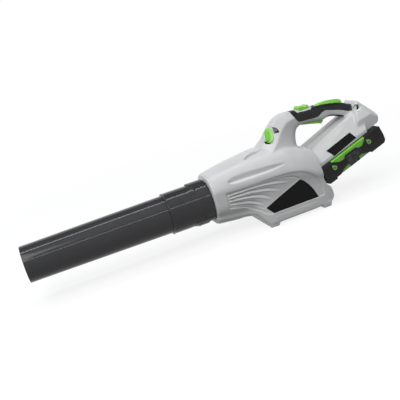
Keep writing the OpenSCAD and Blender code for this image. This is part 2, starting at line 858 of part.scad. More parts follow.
module motor_can() {
    color(steel) difference() {
        rod(motor_r, motor_front, motor_rear);
        rod(motor_r - 2, motor_front + can_cap, motor_rear - can_cap);
        rod(bearing_r + pin_gap, motor_front + can_cap - bearing_w, motor_front + can_cap + 1);
        rod(bearing_r + pin_gap, motor_rear - can_cap - 1, motor_rear - can_cap + bearing_w);
        rod(shaft_r + 2, motor_front - 1, motor_rear + 1);
        for (a = [0:60:300]) rotate([a, 0, 0]) translate([motor_front - 1, 0, motor_r - 6])
            rotate([0, 90, 0]) cylinder(r = 2.6, h = motor_len + 2);
    }
}

core_front = motor_front + can_cap + 7;
core_rear = motor_rear - can_cap - 7;
tooth_w = 5;

module motor_core() {
    color([0.4, 0.41, 0.43]) difference() {
        union() {
            difference() {
                rod(motor_r - 2 - pin_gap, core_front, core_rear);
                rod(motor_r - 4.6, core_front - 1, core_rear + 1);
            }
            intersection() {
                for (a = [0:60:300]) rotate([a, 0, 0])
                    translate([core_front, -tooth_w / 2, 11])
                        cube([core_rear - core_front, tooth_w, motor_r - 14]);
                rod(motor_r - 3, core_front, core_rear);
            }
        }
        rod(12.2, core_front - 1, core_rear + 1);
    }
}

module motor_windings() {
    coil_top = motor_r - 5.6;
    color(copper) for (a = [0:60:300]) rotate([a, 0, 0]) difference() {
        translate([core_front - 4, -5.2, 13]) cube([core_rear - core_front + 8, 10.4, coil_top - 13]);
        translate([core_front - 0.2, -tooth_w / 2 - 0.2, 10])
            cube([core_rear - core_front + 0.4, tooth_w + 0.4, 20]);
    }
}

module motor_bearings() {
    color(steel) for (x = [motor_front + can_cap - bearing_w + pin_gap, motor_rear - can_cap])
        difference() {
            rod(bearing_r, x, x + bearing_w - pin_gap);
            rod(shaft_r + pin_gap, x - 1, x + bearing_w + 1);
        }
}

module motor_shaft() {
    color(steel) union() {
        rod(shaft_r, motor_front + 2, fan_rear + 2);
        rod(shaft_r - 0.8, fan_rear + 1, fan_rear + 9);
    }
}

module motor_magnet() {
    color([0.3, 0.3, 0.32]) difference() {
        rod(11.4, core_front, core_rear);
        rod(shaft_r + 0.02, core_front - 1, core_rear + 1);
    }
}

// Hub with its blades, whose sections turn from root to tip
module fan_impeller() {
    color(dark_grey) {
        difference() {
            rod(hub_r, fan_front, fan_rear);
            rod(hub_r - 3, fan_front - 1, fan_rear - 5);
            rod(shaft_r + 0.02, fan_front, fan_rear + 1);
        }
        difference() {
            rod(9, fan_front + 1, fan_rear - 4);
            rod(shaft_r + 0.02, fan_front, fan_rear + 1);
        }
        for (i = [0:blade_count - 1]) rotate([360 * i / blade_count, 0, 0]) fan_blade();
    }
}

blade_stations = 3;
blade_chord = 22;

module fan_blade() {
    mid = (fan_front + fan_rear) / 2;
    loft([for (k = [blade_stations:-1:0])
        let (s = k / blade_stations, r = hub_r - 1.2 + (fan_r - hub_r + 0.2) * s,
             twist = 52 - 26 * s, thick = 2.6 - 1.2 * s)
        [for (p = blade_section(blade_chord, 2.6, thick))
            let (x = p.x * cos(twist) - p.y * sin(twist), y = p.x * sin(twist) + p.y * cos(twist))
            [mid + y * 0.9, x, sqrt(max(r * r - x * x, 1))]]]);
}

function blade_section(chord, camber, thick, n = 5) = concat(
    [for (i = [0:n]) let (s = i / n)
        [chord * (s - 0.5), camber * sin(180 * s) + thick / 2 * sin(180 * pow(s, 0.8))]],
    [for (i = [n - 1:-1:1]) let (s = i / n)
        [chord * (s - 0.5), camber * sin(180 * s) - thick / 2 * sin(180 * pow(s, 0.8))]]);

module fan_spinner() {
    color(dark_grey) difference() {
        about_duct(concat([[0, fan_rear + 0.1]],
            [for (i = [0:6]) let (a = 15 * i) [(hub_r - 1) * cos(a), fan_rear + 0.1 + 17 * sin(a)]]));
        rod(shaft_r - 0.8 + pin_gap, fan_rear, fan_rear + 9.2);
        rod(shaft_r + pin_gap, fan_rear, fan_rear + 2.2);
    }
}

lead_points = [[120, 55.2], [124, 57], [132, 58.5], [150, 58.8], [180, 58.8], [205, 59],
    [bell_rear - 12, 59.8], [bell_rear - 2, 60], [bell_rear + 3.5, 57.5], [bell_rear + 6, 52],
    [243, 45], [253, 36.5], [261, 31.5],
    [266.8, 28.8], [273.3, 27.2], [277.2, 25.4], [278.8, 22.9]];

// Three motor leads, from the duct's gland over the duct to the control board
module motor_leads() {
    color(rubber_black) for (y = [-4, 0, 4]) translate([0, y, 0])
        wire([for (p = lead_points) [p.x, 0, p.y]], 1.6, 6);
}

// ------------------------------------------------------------------------------ grilles

floor_intake = [104, 100];
floor_intake_x = 194;
rear_intake = [92, 16];
rear_intake_x = 281;
rear_intake_z = -64;

module grille(size, slot, pitch, margin) {
    count = floor((size.x - 8) / pitch);
    difference() {
        children();
        for (i = [0:count - 1])
            translate([(i - (count - 1) / 2) * pitch, 0, -20])
                pad([slot, size.y - 2 * margin, 40], slot / 2.01, 8);
    }
}

module bottom_grille() {
    half = floor_intake / 2;
    color(rubber_black) translate([floor_intake_x, 0, skirt_z + 0.4])
        grille(floor_intake, grille_pitch * 0.55, grille_pitch, 5) {
            union() {
                translate([seat - half.x, -half.y, 0])
                    cube([floor_intake.x - 2 * seat, floor_intake.y, wall]);
                translate([-half.x - 2, -half.y - 1.4, wall - 0.4 + seat])
                    cube([floor_intake.x + 4, floor_intake.y + 2.8, 2]);
            }
        }
}

module rear_grille() {
    color(rubber_black) translate([rear_intake_x, 0, rear_intake_z]) rotate([0, 0, 90]) rotate([90, 0, 0])
        grille(rear_intake, grille_pitch * 0.45, grille_pitch, 2.5)
            translate([-rear_intake.x / 2, seat - rear_intake.y / 2, -3.4])
                cube([rear_intake.x, rear_intake.y - 2 * seat, 4.4]);
}

// ------------------------------------------------------------------------ blowing tube

module collar() {
    stop_x = collar_front + nozzle_insert + gap;
    arm = twist_deg;
    slot = lug_deg + 3;
    color(dark_grey) difference() {
        union() {
            about_duct([[collar_r - 0.8, collar_front], [collar_r, collar_front + 1.5],
                [collar_r, collar_rear], [collar_bore, collar_rear],
                [collar_bore, spigot_front - gap - 0.5],
                [nozzle_root_r - 2.6, stop_x + 2.6], [nozzle_root_r - 2.6, stop_x],
                [nozzle_root_r + gap, stop_x], [nozzle_root_r + gap, collar_front]]);
            for (i = [0:lug_count - 1]) {
                c = lug_angle(i) - arm;
                sector(collar_r - 1, cover_r, lug_x + lug_len + 3, collar_rear,
                    c - slot / 2 - 2.2, c + slot / 2 + 2.2);
                sector(collar_r - 1, cover_r, lug_x - 3, lug_x + lug_len + 3,
                    c - slot / 2 - 2.2, c + arm + slot / 2 + 2.2);
            }
        }
        for (i = [0:lug_count - 1]) {
            c = lug_angle(i) - arm;
            sector(collar_bore - 1, channel_r, lug_x + lug_len + 0.4, collar_rear + 1,
                c - slot / 2, c + slot / 2);
            sector(collar_bore - 1, channel_r, lug_x - 0.4, lug_x + lug_len + 0.4,
                c - slot / 2, c + arm + slot / 2);
        }
    }
}

module nozzle() {
    land = nozzle_front + nozzle_land;
    end = collar_front + nozzle_insert;
    bore = nozzle_root_r - nozzle_wall;
    color(dark_grey) about_duct([[nozzle_tip_r - nozzle_wall, nozzle_front],
        [nozzle_tip_r, nozzle_front], [nozzle_tip_r, land], [nozzle_root_r, collar_front],
        [nozzle_root_r, end - 2], [nozzle_root_r - 0.8, end], [bore, end], [bore, collar_front],
        [nozzle_tip_r - nozzle_wall, land]]);
}

// ------------------------------------------------------------------ dock and electronics

rail_z = 4.4;         // height of the underside of the pack's rails
rail_w = 5;           // reach of the rails beyond the neck
head_front = 12;
dock_front = 2;
dock_rear = pack_len - 12;
dock_roof = head_h + gap;
groove_w = 12;
groove_d = 4.5;
latch_x = 158;        // front of the release button's leg

module battery_dock() {
    color(rubber_black) in_dock() difference() {
        union() {
            translate([dock_front, -dock_half, 0.5])
                cube([dock_rear - dock_front, 2 * dock_half, dock_roof + 2.4 - 0.5]);
            translate([dock_front + 10, -dock_half - 5, gap + floor_t + seat])
                cube([96, 2 * dock_half + 10, 2]);
        }
        translate([head_front - gap, -head_w - gap, rail_z - gap])
            cube([200, 2 * head_w + 2 * gap, dock_roof - rail_z + gap]);
        translate([head_front - gap, -head_w + rail_w - gap, -1])
            cube([200, 2 * (head_w - rail_w) + 2 * gap, 12]);
        translate([latch_x - 8, -groove_w / 2, 0]) cube([dock_rear - latch_x + 20, groove_w, 40]);
    }
}

blade_ys = [-24, -12, 12, 24];

module dock_terminals() {
    color([0.85, 0.75, 0.45]) in_dock() for (y = blade_ys)
        translate([head_front - gap, y - 0.5, 6]) cube([12, 1, 5]);
}

tray_x = 8;
tray_len = 88;
tray_w = 22;
tray_z = dock_roof + 2.4 + seat;

module heat_sink() {
    color([0.75, 0.76, 0.78]) in_dock() difference() {
        translate([tray_x, -tray_w, tray_z]) cube([tray_len, 2 * tray_w, 10]);
        translate([tray_x + 2, -tray_w + 2, tray_z + 2]) cube([tray_len - 4, 2 * tray_w - 4, 20]);
    }
}

module control_board() {
    color([0.08, 0.3, 0.16]) in_dock() translate([tray_x + 2.3, 0, tray_z + 2 + seat]) {
        translate([0, -tray_w + 2.3, 0]) cube([tray_len - 4.6, 2 * tray_w - 4.6, 1.6]);
        for (y = [-10, 10]) translate([68, y, 1.6]) cylinder(r = 6, h = 9);
        for (x = [12:12:48], y = [-14, 6]) translate([x, y, 1.6]) cube([7, 8, 3]);
    }
}

module release_button() {
    color(green) union() {
        in_release() {
            pad([release_size.x, release_size.y, 2], 5.6);
            translate([0, 0, -3]) pad([release_size.x - 2, release_size.y - 2, 4], 5);
            for (x = [-6, 0, 6]) translate([x, 0, 1.8]) pad([1.6, 18, 1], 0.7);
            translate([0, 0, -stem_len]) cylinder(r = stem_r, h = stem_len - 2);
        }
        in_dock() translate([latch_x, -4, head_h - groove_d + 1.9]) cube([8, 8, 16]);
    }
}

module release_spring() {
    color(steel) in_release() translate([0, 0, release_web_z + 2.6]) coil(4.6, 0.6, 16, 5);
}

// ------------------------------------------------------------------------- battery pack

cap_wall = 2.4;
front_cap_rear = 24;
rear_cap_front = pack_len - 51;
case_front = 4;
case_rear = pack_len - 12;
case_half = pack_w - cap_wall - seat;
split_z = -23;

// Side view of the armour's envelope, with its sloped ends
pack_envelope = [[0, 0], [-5, -25], [-5, -42], [2, -pack_t], [pack_len - 10, -pack_t],
    [pack_len - 5, -42], [pack_len - 5, -30], [pack_len - 6, -4], [pack_len - 11, 0]];

module pack_section(grow) {
    translate([-20, 0, 0]) rotate([90, 0, 90]) linear_extrude(pack_len + 40)
        polygon([[pack_w - 4 + grow, grow], [pack_w + grow, -4], [pack_w + grow, -37],
            [pack_w - 9 + grow, -pack_t - grow], [-pack_w + 9 - grow, -pack_t - grow],
            [-pack_w - grow, -37], [-pack_w - grow, -4], [-pack_w + 4 - grow, grow]]);
}

module case_block(z0, z1, grow = 0) {
    intersection() {
        translate([case_front - grow, -case_half - grow, z0])
            cube([case_rear - case_front + 2 * grow, 2 * case_half + 2 * grow, z1 - z0]);
        pack_section(-cap_wall - seat + grow);
    }
}

module rail_head(x0, x1, low) {
    difference() {
        union() {
            translate([x0, -head_w + rail_w, low]) cube([x1 - x0, 2 * (head_w - rail_w), head_h - low]);
            translate([x0, -head_w, rail_z]) cube([x1 - x0, 2 * head_w, head_h - rail_z]);
        }
        translate([x0 - 1, -groove_w / 2, head_h - groove_d]) cube([x1 - x0 + 2, groove_w, 20]);
    }
}

boss_xs = [29, pack_len - 46];
boss_z = -20;

module pack_bosses(grow, reach) {
    for (x = boss_xs, s = [-1, 1]) left_or_right(s) hull() {
        pin_y(x, boss_z, 5.6 + grow, -reach, -case_half + 3, 18);
        pin_y(x - 4, boss_z + 8, 1.4 + grow, -reach, -case_half + 3, 12);
    }
}

module pack_upper_case() {
    color(green) in_dock() difference() {
        union() {
            case_block(split_z, 0);
            rail_head(head_front, rear_cap_front, -cap_wall - 1);
            pack_bosses(0, pack_w + 0.3);
        }
        case_block(split_z - 1, 0, -2);
        for (y = blade_ys) translate([head_front - 1, y - 1, 5]) cube([14.5, 2, 7]);
        for (x = boss_xs) pin_y(x, boss_z, 1.7, -100, 100);
        for (x = boss_xs, s = [-1, 1]) left_or_right(s) pin_y(x, boss_z, 3.3, -100, -pack_w + 1.2);
    }
}

module pack_lower_case() {
    color(green) in_dock() difference() {
        case_block(-pack_t + cap_wall + seat, split_z - 0.02);
        case_block(-pack_t + cap_wall + seat + 2, split_z + 1, -2);
        pack_bosses(seat, pack_w + 3);
        for (y = [-1, 1]) translate([0, y * (case_half - 2), -pack_t]) rotate([45, 0, 0])
            cube([400, 1, 1], center = true);
    }
}

// Side view of the front and rear halves of the armour, with their zigzag belt
belt_mid = pack_len / 2 - 5;
front_armour = [[-10, 5], [23, 5], [27, -3], [38, -10], [46, -15], [59, -16], [66, -10],
    [belt_mid - seat, -10], [belt_mid - seat, -34], [60, -34], [48, -37], [34, -46],
    [30, -60], [-10, -60]];
rear_armour = [[pack_len + 20, 20], [rear_cap_front, 20], [rear_cap_front, -1],
    [pack_len - 54, -8], [pack_len - 65, -17], [pack_len - 76, -16], [pack_len - 83, -10],
    [belt_mid + seat, -10], [belt_mid + seat, -34], [pack_len - 76, -34], [pack_len - 68, -38],
    [pack_len - 51, -46], [pack_len - 47, -60], [pack_len + 20, -60]];

module armour(outline) {
    difference() {
        union() {
            intersection() {
                side(-100, 100, pack_envelope);
                pack_section(0);
                side(-100, 100, outline);
            }
            intersection() {
                translate([belt_mid - 23, -pack_w - 1, -29]) cube([42, 2 * pack_w + 2, 14]);
                side(-100, 100, outline);
            }
        }
        case_block(-pack_t + cap_wall, 30, seat);
        pack_bosses(seat, pack_w + 3);
        // The belt is open under and over the case between the two caps
        translate([front_cap_rear, -case_half + 4, -80])
            cube([rear_cap_front - front_cap_rear, 2 * case_half - 8, 120]);
    }
}

module pack_front_cap() {
    neck = head_w - rail_w + seat;
    color(rubber_black) in_dock() difference() {
        armour(front_armour);
        translate([head_front - seat, -neck, -20]) cube([40, 2 * neck, 40]);
    }
}

module pack_rear_cap() {
    color(rubber_black) in_dock() difference() {
        union() {
            armour(rear_armour);
            rail_head(rear_cap_front + seat, pack_len - 8, -cap_wall);
        }
        translate([pack_len - 10, 0, -16]) rotate([0, 90, 0]) cylinder(r = 5 + gap, h = 20);
        translate([pack_len - 8, -34, -21]) cube([20, 22, 10]);
    }
}

module gauge_button() {
    color(green) in_dock() translate([pack_len - 8.5, 0, -16]) rotate([0, 90, 0]) cylinder(r = 5, h = 4.5);
}

module gauge_window() {
    color([0.5, 0.55, 0.55]) in_dock() translate([pack_len - 8 + seat, -34 + seat, -21 + seat])
        cube([2, 22 - 2 * seat, 10 - 2 * seat]);
}

cell_pitch = 2 * cell_r + 0.6;
cell_rows = 6;
cells_front = 20;
bank_gap = 3;
bank_pitch = cell_len + bank_gap;
bank_count = floor((case_rear - 2 - cells_front + bank_gap) / bank_pitch);
cells_low = -pack_t + cap_wall + 2 + 2 * seat;

module each_cell() {
    for (bank = [0:bank_count - 1], row = [0:cell_rows - 1], layer = [0, 1])
        translate([cells_front + bank * bank_pitch, (row - (cell_rows - 1) / 2) * cell_pitch,
            cells_low + 1.2 + cell_r + layer * cell_pitch]) children();
}

module pack_cells() {
    color([0.25, 0.45, 0.6]) in_dock() each_cell() rotate([0, 90, 0]) cylinder(r = cell_r, h = cell_len);
}

holder_t = 8;

module cell_holders() {
    color(dark_grey) in_dock() difference() {
        intersection() {
            // The outer two reach 2 mm past the cells' ends
            for (i = [0:bank_count])
                translate([cells_front + i * bank_pitch - (bank_gap + holder_t) / 2
                        + (i == 0 ? (bank_gap + holder_t) / 2 - 2 : 0)
                        - (i == bank_count ? (bank_gap + holder_t) / 2 - 2 : 0),
                        -cell_rows * cell_pitch / 2, cells_low])
                    cube([holder_t, cell_rows * cell_pitch, 2 * cell_pitch + 1.5]);
            pack_section(-cap_wall - seat - 2 - seat);
        }
        each_cell() translate([-0.1, 0, 0]) rotate([0, 90, 0])
            cylinder(r = cell_r + 0.1, h = cell_len + 0.2);
    }
}

module pack_board() {
    color([0.08, 0.3, 0.16]) in_dock() translate([case_front + 2.2, -40, -12])
        cube([cells_front - 4.6 - case_front, 80, 1.6]);
}

module pack_contacts() {
    color([0.85, 0.75, 0.45]) in_dock() for (y = blade_ys)
        translate([head_front + 1, y - 0.95, 5.05]) cube([10, 0.3, 6]);
}

module pack_screws() {
    color(steel) in_dock() for (x = boss_xs, s = [-1, 1]) left_or_right(s) {
        pin_y(x, boss_z, 3, -pack_w + 0.2, -pack_w + 1.1);
        pin_y(x, boss_z, 1.6, -pack_w + 1, -case_half + 4);
    }
}

placed() housing_left();
placed() housing_right();
placed() nose_ring();
placed() grip_left();
placed() grip_right();
placed() underhandle_pad();
placed() badge_left();
placed() badge_right();
placed() label_left();
placed() label_right();
placed() icon_plate();
placed() boost_bezel();
placed() boost_button();
placed() speed_slider();
placed() speed_switch();
placed() palm_lever();
placed() lever_pin();
placed() lever_spring();
placed() trigger();
placed() trigger_pin();
placed() trigger_spring();
placed() trigger_switch();
placed() housing_screws();
placed() fan_duct();
placed() stator_vanes();
placed() motor_can();
placed() motor_core();
placed() motor_windings();
placed() motor_bearings();
placed() motor_shaft();
placed() motor_magnet();
placed() fan_impeller();
placed() fan_spinner();
placed() motor_leads();
placed() bottom_grille();
placed() rear_grille();
placed() collar();
placed() nozzle();
placed() battery_dock();
placed() dock_terminals();
placed() heat_sink();
placed() control_board();
placed() release_button();
placed() release_spring();
placed() pack_upper_case();
placed() pack_lower_case();
placed() pack_front_cap();
placed() pack_rear_cap();
placed() pack_cells();
placed() cell_holders();
placed() pack_board();
placed() pack_contacts();
placed() pack_screws();
placed() gauge_button();
placed() gauge_window();
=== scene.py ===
import json
import math

import bmesh
import bpy
import numpy as np
from mathutils import Matrix, Vector


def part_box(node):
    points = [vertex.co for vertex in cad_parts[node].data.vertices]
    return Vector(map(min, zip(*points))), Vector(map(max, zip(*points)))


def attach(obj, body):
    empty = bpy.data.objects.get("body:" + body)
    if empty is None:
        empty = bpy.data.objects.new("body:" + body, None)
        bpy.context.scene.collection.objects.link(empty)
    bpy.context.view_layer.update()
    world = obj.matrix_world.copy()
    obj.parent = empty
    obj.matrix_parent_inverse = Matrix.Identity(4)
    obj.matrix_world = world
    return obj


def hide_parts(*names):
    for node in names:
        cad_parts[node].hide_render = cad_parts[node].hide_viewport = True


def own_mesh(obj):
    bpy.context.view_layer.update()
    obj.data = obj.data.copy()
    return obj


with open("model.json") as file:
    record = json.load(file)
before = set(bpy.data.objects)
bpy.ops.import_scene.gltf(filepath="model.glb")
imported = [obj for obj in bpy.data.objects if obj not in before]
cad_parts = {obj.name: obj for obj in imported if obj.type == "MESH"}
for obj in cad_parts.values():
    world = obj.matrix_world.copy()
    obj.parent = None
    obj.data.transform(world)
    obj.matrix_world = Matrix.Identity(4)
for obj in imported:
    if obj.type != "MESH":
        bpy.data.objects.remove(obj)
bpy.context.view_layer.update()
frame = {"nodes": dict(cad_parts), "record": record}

# Handheld cordless leaf blower.  Shapes are made in millimetres from the duct datum: X = 0 in
# the plane of the housing's front rim, X to the rear, Z up, the duct's axis at Y = Z = 0.
# finished() then moves each one into the frame.

NODES = frame["nodes"]
MM = 0.001
rim_low, rim_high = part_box("nose_ring")
DATUM = Vector((rim_low.x, 0.0, (rim_low.z + rim_high.z) / 2))
FROM_DUCT = Matrix.Translation(DATUM) @ Matrix.Scale(MM, 4)
TO_DUCT = FROM_DUCT.inverted()


def at(x, y, z):
    return Matrix.Translation((x, y, z))


def turned(axis, degrees):
    return Matrix.Rotation(math.radians(degrees), 4, axis)


DOCK = at(267, 0, -1.3) @ turned("Y", -18)
BOOST = at(274, 0, 134.3) @ turned("Y", 5.5)
SLIDER = at(179, -3, 107) @ turned("Y", -49)
ICON = at(190.6, -20.7, 111.4) @ turned("Y", -49) @ turned("X", 54)
RELEASE = at(434, 0, 89.6) @ turned("Y", 45)
SLIDER_KEY = at(176.5, -13.8, 101.2) @ turned("Y", -49) @ turned("X", 35) @ turned("Z", 40)
BOOST_KEY = BOOST @ at(2.2, 0, 0)

GROUND = -95.0
SKIRT_Z = GROUND + 5.5
SKIRT_W = 68.0
RUBBER_T = 2.2
SEAT = 0.15
BODY_WALL = 8.0       # deep enough for the scoop and the carved field
HANDLE_WALL = 4.6
SLAB_WALL = 2.8
SHELL_VOXEL = 1.15
TRIANGLES = 190000    # the most that a piece keeps
SHARP_DEG = 32        # edges that turn by more than this are shown as creases

# ---- mesh tools


def link(name, data):
    obj = bpy.data.objects.new(name, data)
    bpy.context.scene.collection.objects.link(obj)
    return obj


def reworked(mesh, job):
    """Runs job on the mesh, opened as a bmesh."""
    bm = bmesh.new()
    bm.from_mesh(mesh)
    job(bm)
    bm.to_mesh(mesh)
    bm.free()


def closed(name, verts, faces):
    """A closed mesh, with its faces turned outwards."""
    mesh = bpy.data.meshes.new(name)
    mesh.from_pydata([tuple(map(float, v)) for v in verts], [], faces)
    reworked(mesh, lambda bm: bmesh.ops.recalc_face_normals(bm, faces=bm.faces))
    return link(name, mesh)


def quads(rings, n, endless=False):
    """Faces between rings of n points; endless ones also join the last ring to the first."""
    return [[j * n + i, j * n + (i + 1) % n, (j + 1) % rings * n + (i + 1) % n, (j + 1) % rings * n + i]
            for j in range(rings if endless else rings - 1) for i in range(n)]


def circle(radius, sides, x=0.0, y=0.0):
    turns = [2 * math.pi * k / sides for k in range(sides)]
    return [(x + radius * math.cos(a), y + radius * math.sin(a)) for a in turns]


def loft(name, rings):
    rings = np.asarray(rings, float)
    m, n = rings.shape[:2]
    ends = [list(range(n))[::-1], [(m - 1) * n + i for i in range(n)]]
    return closed(name, rings.reshape(-1, 3), quads(m, n) + ends)


def hull(name, points):
    bm = bmesh.new()
    for p in points:
        bm.verts.new(p)
    got = bmesh.ops.convex_hull(bm, input=bm.verts)
    spare = {v for key in ("geom_interior", "geom_unused") for v in got[key]
             if isinstance(v, bmesh.types.BMVert)}
    bmesh.ops.delete(bm, geom=list(spare), context="VERTS")
    mesh = bpy.data.meshes.new(name)
    bm.to_mesh(mesh)
    bm.free()
    return link(name, mesh)


def prism(name, outline, y0, y1):
    """A side view outline, drawn from y0 to y1."""
    return loft(name, [[(x, y, z) for x, z in outline] for y in (y0, y1)])


def lathe(name, profile, sides=160):
    """A closed profile of (station, radius) round the duct's axis."""
    profile = np.asarray(profile, float)
    angles = 2 * math.pi * np.arange(sides) / sides
    verts = [(x, r * math.sin(a), r * math.cos(a)) for a in angles for x, r in profile]
    return closed(name, verts, quads(sides, len(profile), True))


def round_box(width, depth, radius, steps=6):
    """Plan of a box with round corners, centred."""
    corners = [(1, 1, 0), (-1, 1, 90), (-1, -1, 180), (1, -1, 270)]
    return [(sx * (width / 2 - radius) + radius * math.cos(math.radians(a0 + 90 * k / steps)),
             sy * (depth / 2 - radius) + radius * math.sin(math.radians(a0 + 90 * k / steps)))
            for sx, sy, a0 in corners for k in range(steps + 1)]


def pad(name, place, size, radius, z0, z1):
    plan = round_box(size[0], size[1], radius)
    obj = loft(name, [[(x, y, z) for x, y in plan] for z in (z0, z1)])
    obj.data.transform(place)
    return obj


def block(name, low, high, place=None):
    (x0, y0, z0), (x1, y1, z1) = low, high
    obj = loft(name, [[(x0, y0, z), (x1, y0, z), (x1, y1, z), (x0, y1, z)] for z in (z0, z1)])
    if place is not None:
        obj.data.transform(place)
    return obj


def pin_y(name, x, z, radius, y0, y1, sides=32):
    return prism(name, circle(radius, sides, x, z), y0, y1)


def rod(name, radius, x0, x1, sides=96):
    return loft(name, [[(x, y, z) for y, z in circle(radius, sides)] for x in (x0, x1)])


def discard(*objs):
    for obj in objs:
        mesh = obj.data
        bpy.data.objects.remove(obj)
        bpy.data.meshes.remove(mesh)


def baked(obj):
    """Applies the object's modifiers."""
    graph = bpy.context.evaluated_depsgraph_get()
    mesh = bpy.data.meshes.new_from_object(obj.evaluated_get(graph))
    old = obj.data
    obj.modifiers.clear()
    obj.data = mesh
    bpy.data.meshes.remove(old)
    return obj


def voxels(obj, size):
    modifier = obj.modifiers.new("voxels", "REMESH")
    modifier.mode = "VOXEL"
    modifier.voxel_size = size
    return baked(obj)


def shaped(obj, tool, how="DIFFERENCE", keep=False):
    modifier = obj.modifiers.new("shaped", "BOOLEAN")
    modifier.operation = how
    modifier.solver = "MANIFOLD"
    modifier.object = tool
    before = len(obj.data.vertices)
    baked(obj)
    if not len(obj.data.vertices):
        raise RuntimeError(f"{tool.name} left nothing of {obj.name}, which had {before} points")
    if not keep:
        discard(tool)
    return obj


def twin(obj, name):
    return link(name, obj.data.copy())


def joined(name, objs):
    bm = bmesh.new()
    for obj in objs:
        bm.from_mesh(obj.data)
    mesh = bpy.data.meshes.new(name)
    bm.to_mesh(mesh)
    bm.free()
    discard(*objs)
    return link(name, mesh)


def points_of(mesh):
    co = np.empty(len(mesh.vertices) * 3)
    mesh.vertices.foreach_get("co", co)
    return co.reshape(-1, 3)


def put_points(mesh, co):
    mesh.vertices.foreach_set("co", co.ravel())
    mesh.update()


def normals_of(mesh):
    normals = np.empty(len(mesh.vertices) * 3)
    mesh.vertex_normals.foreach_get("vector", normals)
    return normals.reshape(-1, 3)


def smoothing(mesh):
    """A function that gives each point's way to the middle of its neighbours."""
    count = len(mesh.vertices)
    edges = np.empty(len(mesh.edges) * 2, int)
    mesh.edges.foreach_get("vertices", edges)
    a, b = edges.reshape(-1, 2).T
    degree = np.bincount(a, minlength=count) + np.bincount(b, minlength=count)

    def way(co):
        total = np.stack([np.bincount(a, co[b, k], count) + np.bincount(b, co[a, k], count)
                          for k in range(3)], 1)
        return total / degree[:, None] - co

    return way


def relax(obj, rounds, weight=None):
    """Smooths a dense mesh; weight(points) says how much, from 0 to 1."""
    co = points_of(obj.data)
    way = smoothing(obj.data)
    share = 0.5 if weight is None else 0.5 * weight(co)[:, None]
    for _ in range(rounds):
        co = co + share * way(co)
    put_points(obj.data, co)
    return obj


def pushed(obj, height):
    """Moves each point along its normal by height(points, normals)."""
    co = points_of(obj.data)
    normals = normals_of(obj.data)
    put_points(obj.data, co + normals * height(co, normals)[:, None])
    return obj


def from_node(node, name):
    """A copy of a CAD node's mesh in the duct's millimetres."""
    mesh = NODES[node].data.copy()
    mesh.transform(TO_DUCT)
    reworked(mesh, lambda bm: bmesh.ops.remove_doubles(bm, verts=bm.verts, dist=1e-4))
    mesh.materials.clear()
    return link(name, mesh)


def moulded(node, name, voxel, rounds, place=None, within=None):
    """A CAD node's form with its edges moulded round; place is the frame its flats lie in."""
    obj = from_node(node, name)
    if within is not None:
        shaped(obj, within, "INTERSECT")
    if place is not None:
        obj.data.transform(place.inverted())
    relax(voxels(obj, voxel), rounds)
    if place is not None:
        obj.data.transform(place)
    return obj


def lighter(obj):
    """Collapses the flattest faces of a piece that has too many triangles."""
    count = sum(len(polygon.vertices) - 2 for polygon in obj.data.polygons)
    if count > TRIANGLES:
        modifier = obj.modifiers.new("lighter", "DECIMATE")
        modifier.ratio = TRIANGLES / count
        baked(obj)
    return obj


def finished(obj, name, body, slot, *nodes):
    """Puts a piece into the frame, with its body, its slot's material and what it replaces."""
    mesh = lighter(obj).data
    mesh.transform(FROM_DUCT)
    mesh.name = name
    obj.name = name
    mesh.materials.clear()
    mesh.materials.append(MATERIALS[slot])
    for polygon in mesh.polygons:
        polygon.material_index = 0
    mesh.shade_smooth()
    mesh.set_sharp_from_angle(angle=math.radians(SHARP_DEG))
    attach(obj, body)
    if nodes:
        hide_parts(*nodes)
    return obj


# ---- curves and masks


def step(value, low, high):
    t = np.clip((value - low) / (high - low), 0, 1)
    return t * t * (3 - 2 * t)


def bump(value, width):
    return np.exp(-(value / width) ** 2)


def smooth_path(points, steps=6):
    """Catmull-Rom curve through points."""
    p = np.asarray(points, float)
    p = np.vstack([2 * p[0] - p[1], p, 2 * p[-1] - p[-2]])
    out = []
    for i in range(1, len(p) - 2):
        for k in range(steps):
            t = k / steps
            a, b, c, d = p[i - 1:i + 3]
            out.append(0.5 * (2 * b + (c - a) * t + (2 * a - 5 * b + 4 * c - d) * t * t
                              + (3 * b - a - 3 * c + d) * t ** 3))
    return np.array(out + [p[-2]])


def along_path(points, path):
    """Distance from a side view path, place along it (0 to 1) and signed offset, + above."""
    path = np.asarray(path, float)
    run = path[1:] - path[:-1]
    length = np.linalg.norm(run, axis=1)
    start = np.concatenate([[0], np.cumsum(length)])
    near = np.full(len(points), 1e9)
    place = np.zeros(len(points))
    side = np.ones(len(points))
    for i in range(len(run)):
        rel = points - path[i]
        t = np.clip(rel @ run[i] / length[i] ** 2, 0, 1)
        off = np.linalg.norm(rel - t[:, None] * run[i], axis=1)
        closer = off < near
        near = np.where(closer, off, near)
        place = np.where(closer, (start[i] + t * length[i]) / start[-1], place)
        cross = run[i][0] * rel[:, 1] - run[i][1] * rel[:, 0]
        side = np.where(closer, np.where(cross < 0, -1, 1), side)
    return near, place, near * side


def inside_by(points, outline):
    """How far points lie inside a side view outline; negative outside."""
    outline = np.asarray(outline, float)
    near = along_path(points, np.vstack([outline, outline[:1]]))[0]
    inside = np.zeros(len(points), bool)
    x, z = points.T
    for (x0, z0), (x1, z1) in zip(outline, np.roll(outline, -1, 0)):
        if z0 == z1:
            continue
        crosses = (z0 > z) != (z1 > z)
        inside ^= crosses & (x < (x1 - x0) * (z - z0) / (z1 - z0) + x0)
    return np.where(inside, near, -near)


# ---- housing forms

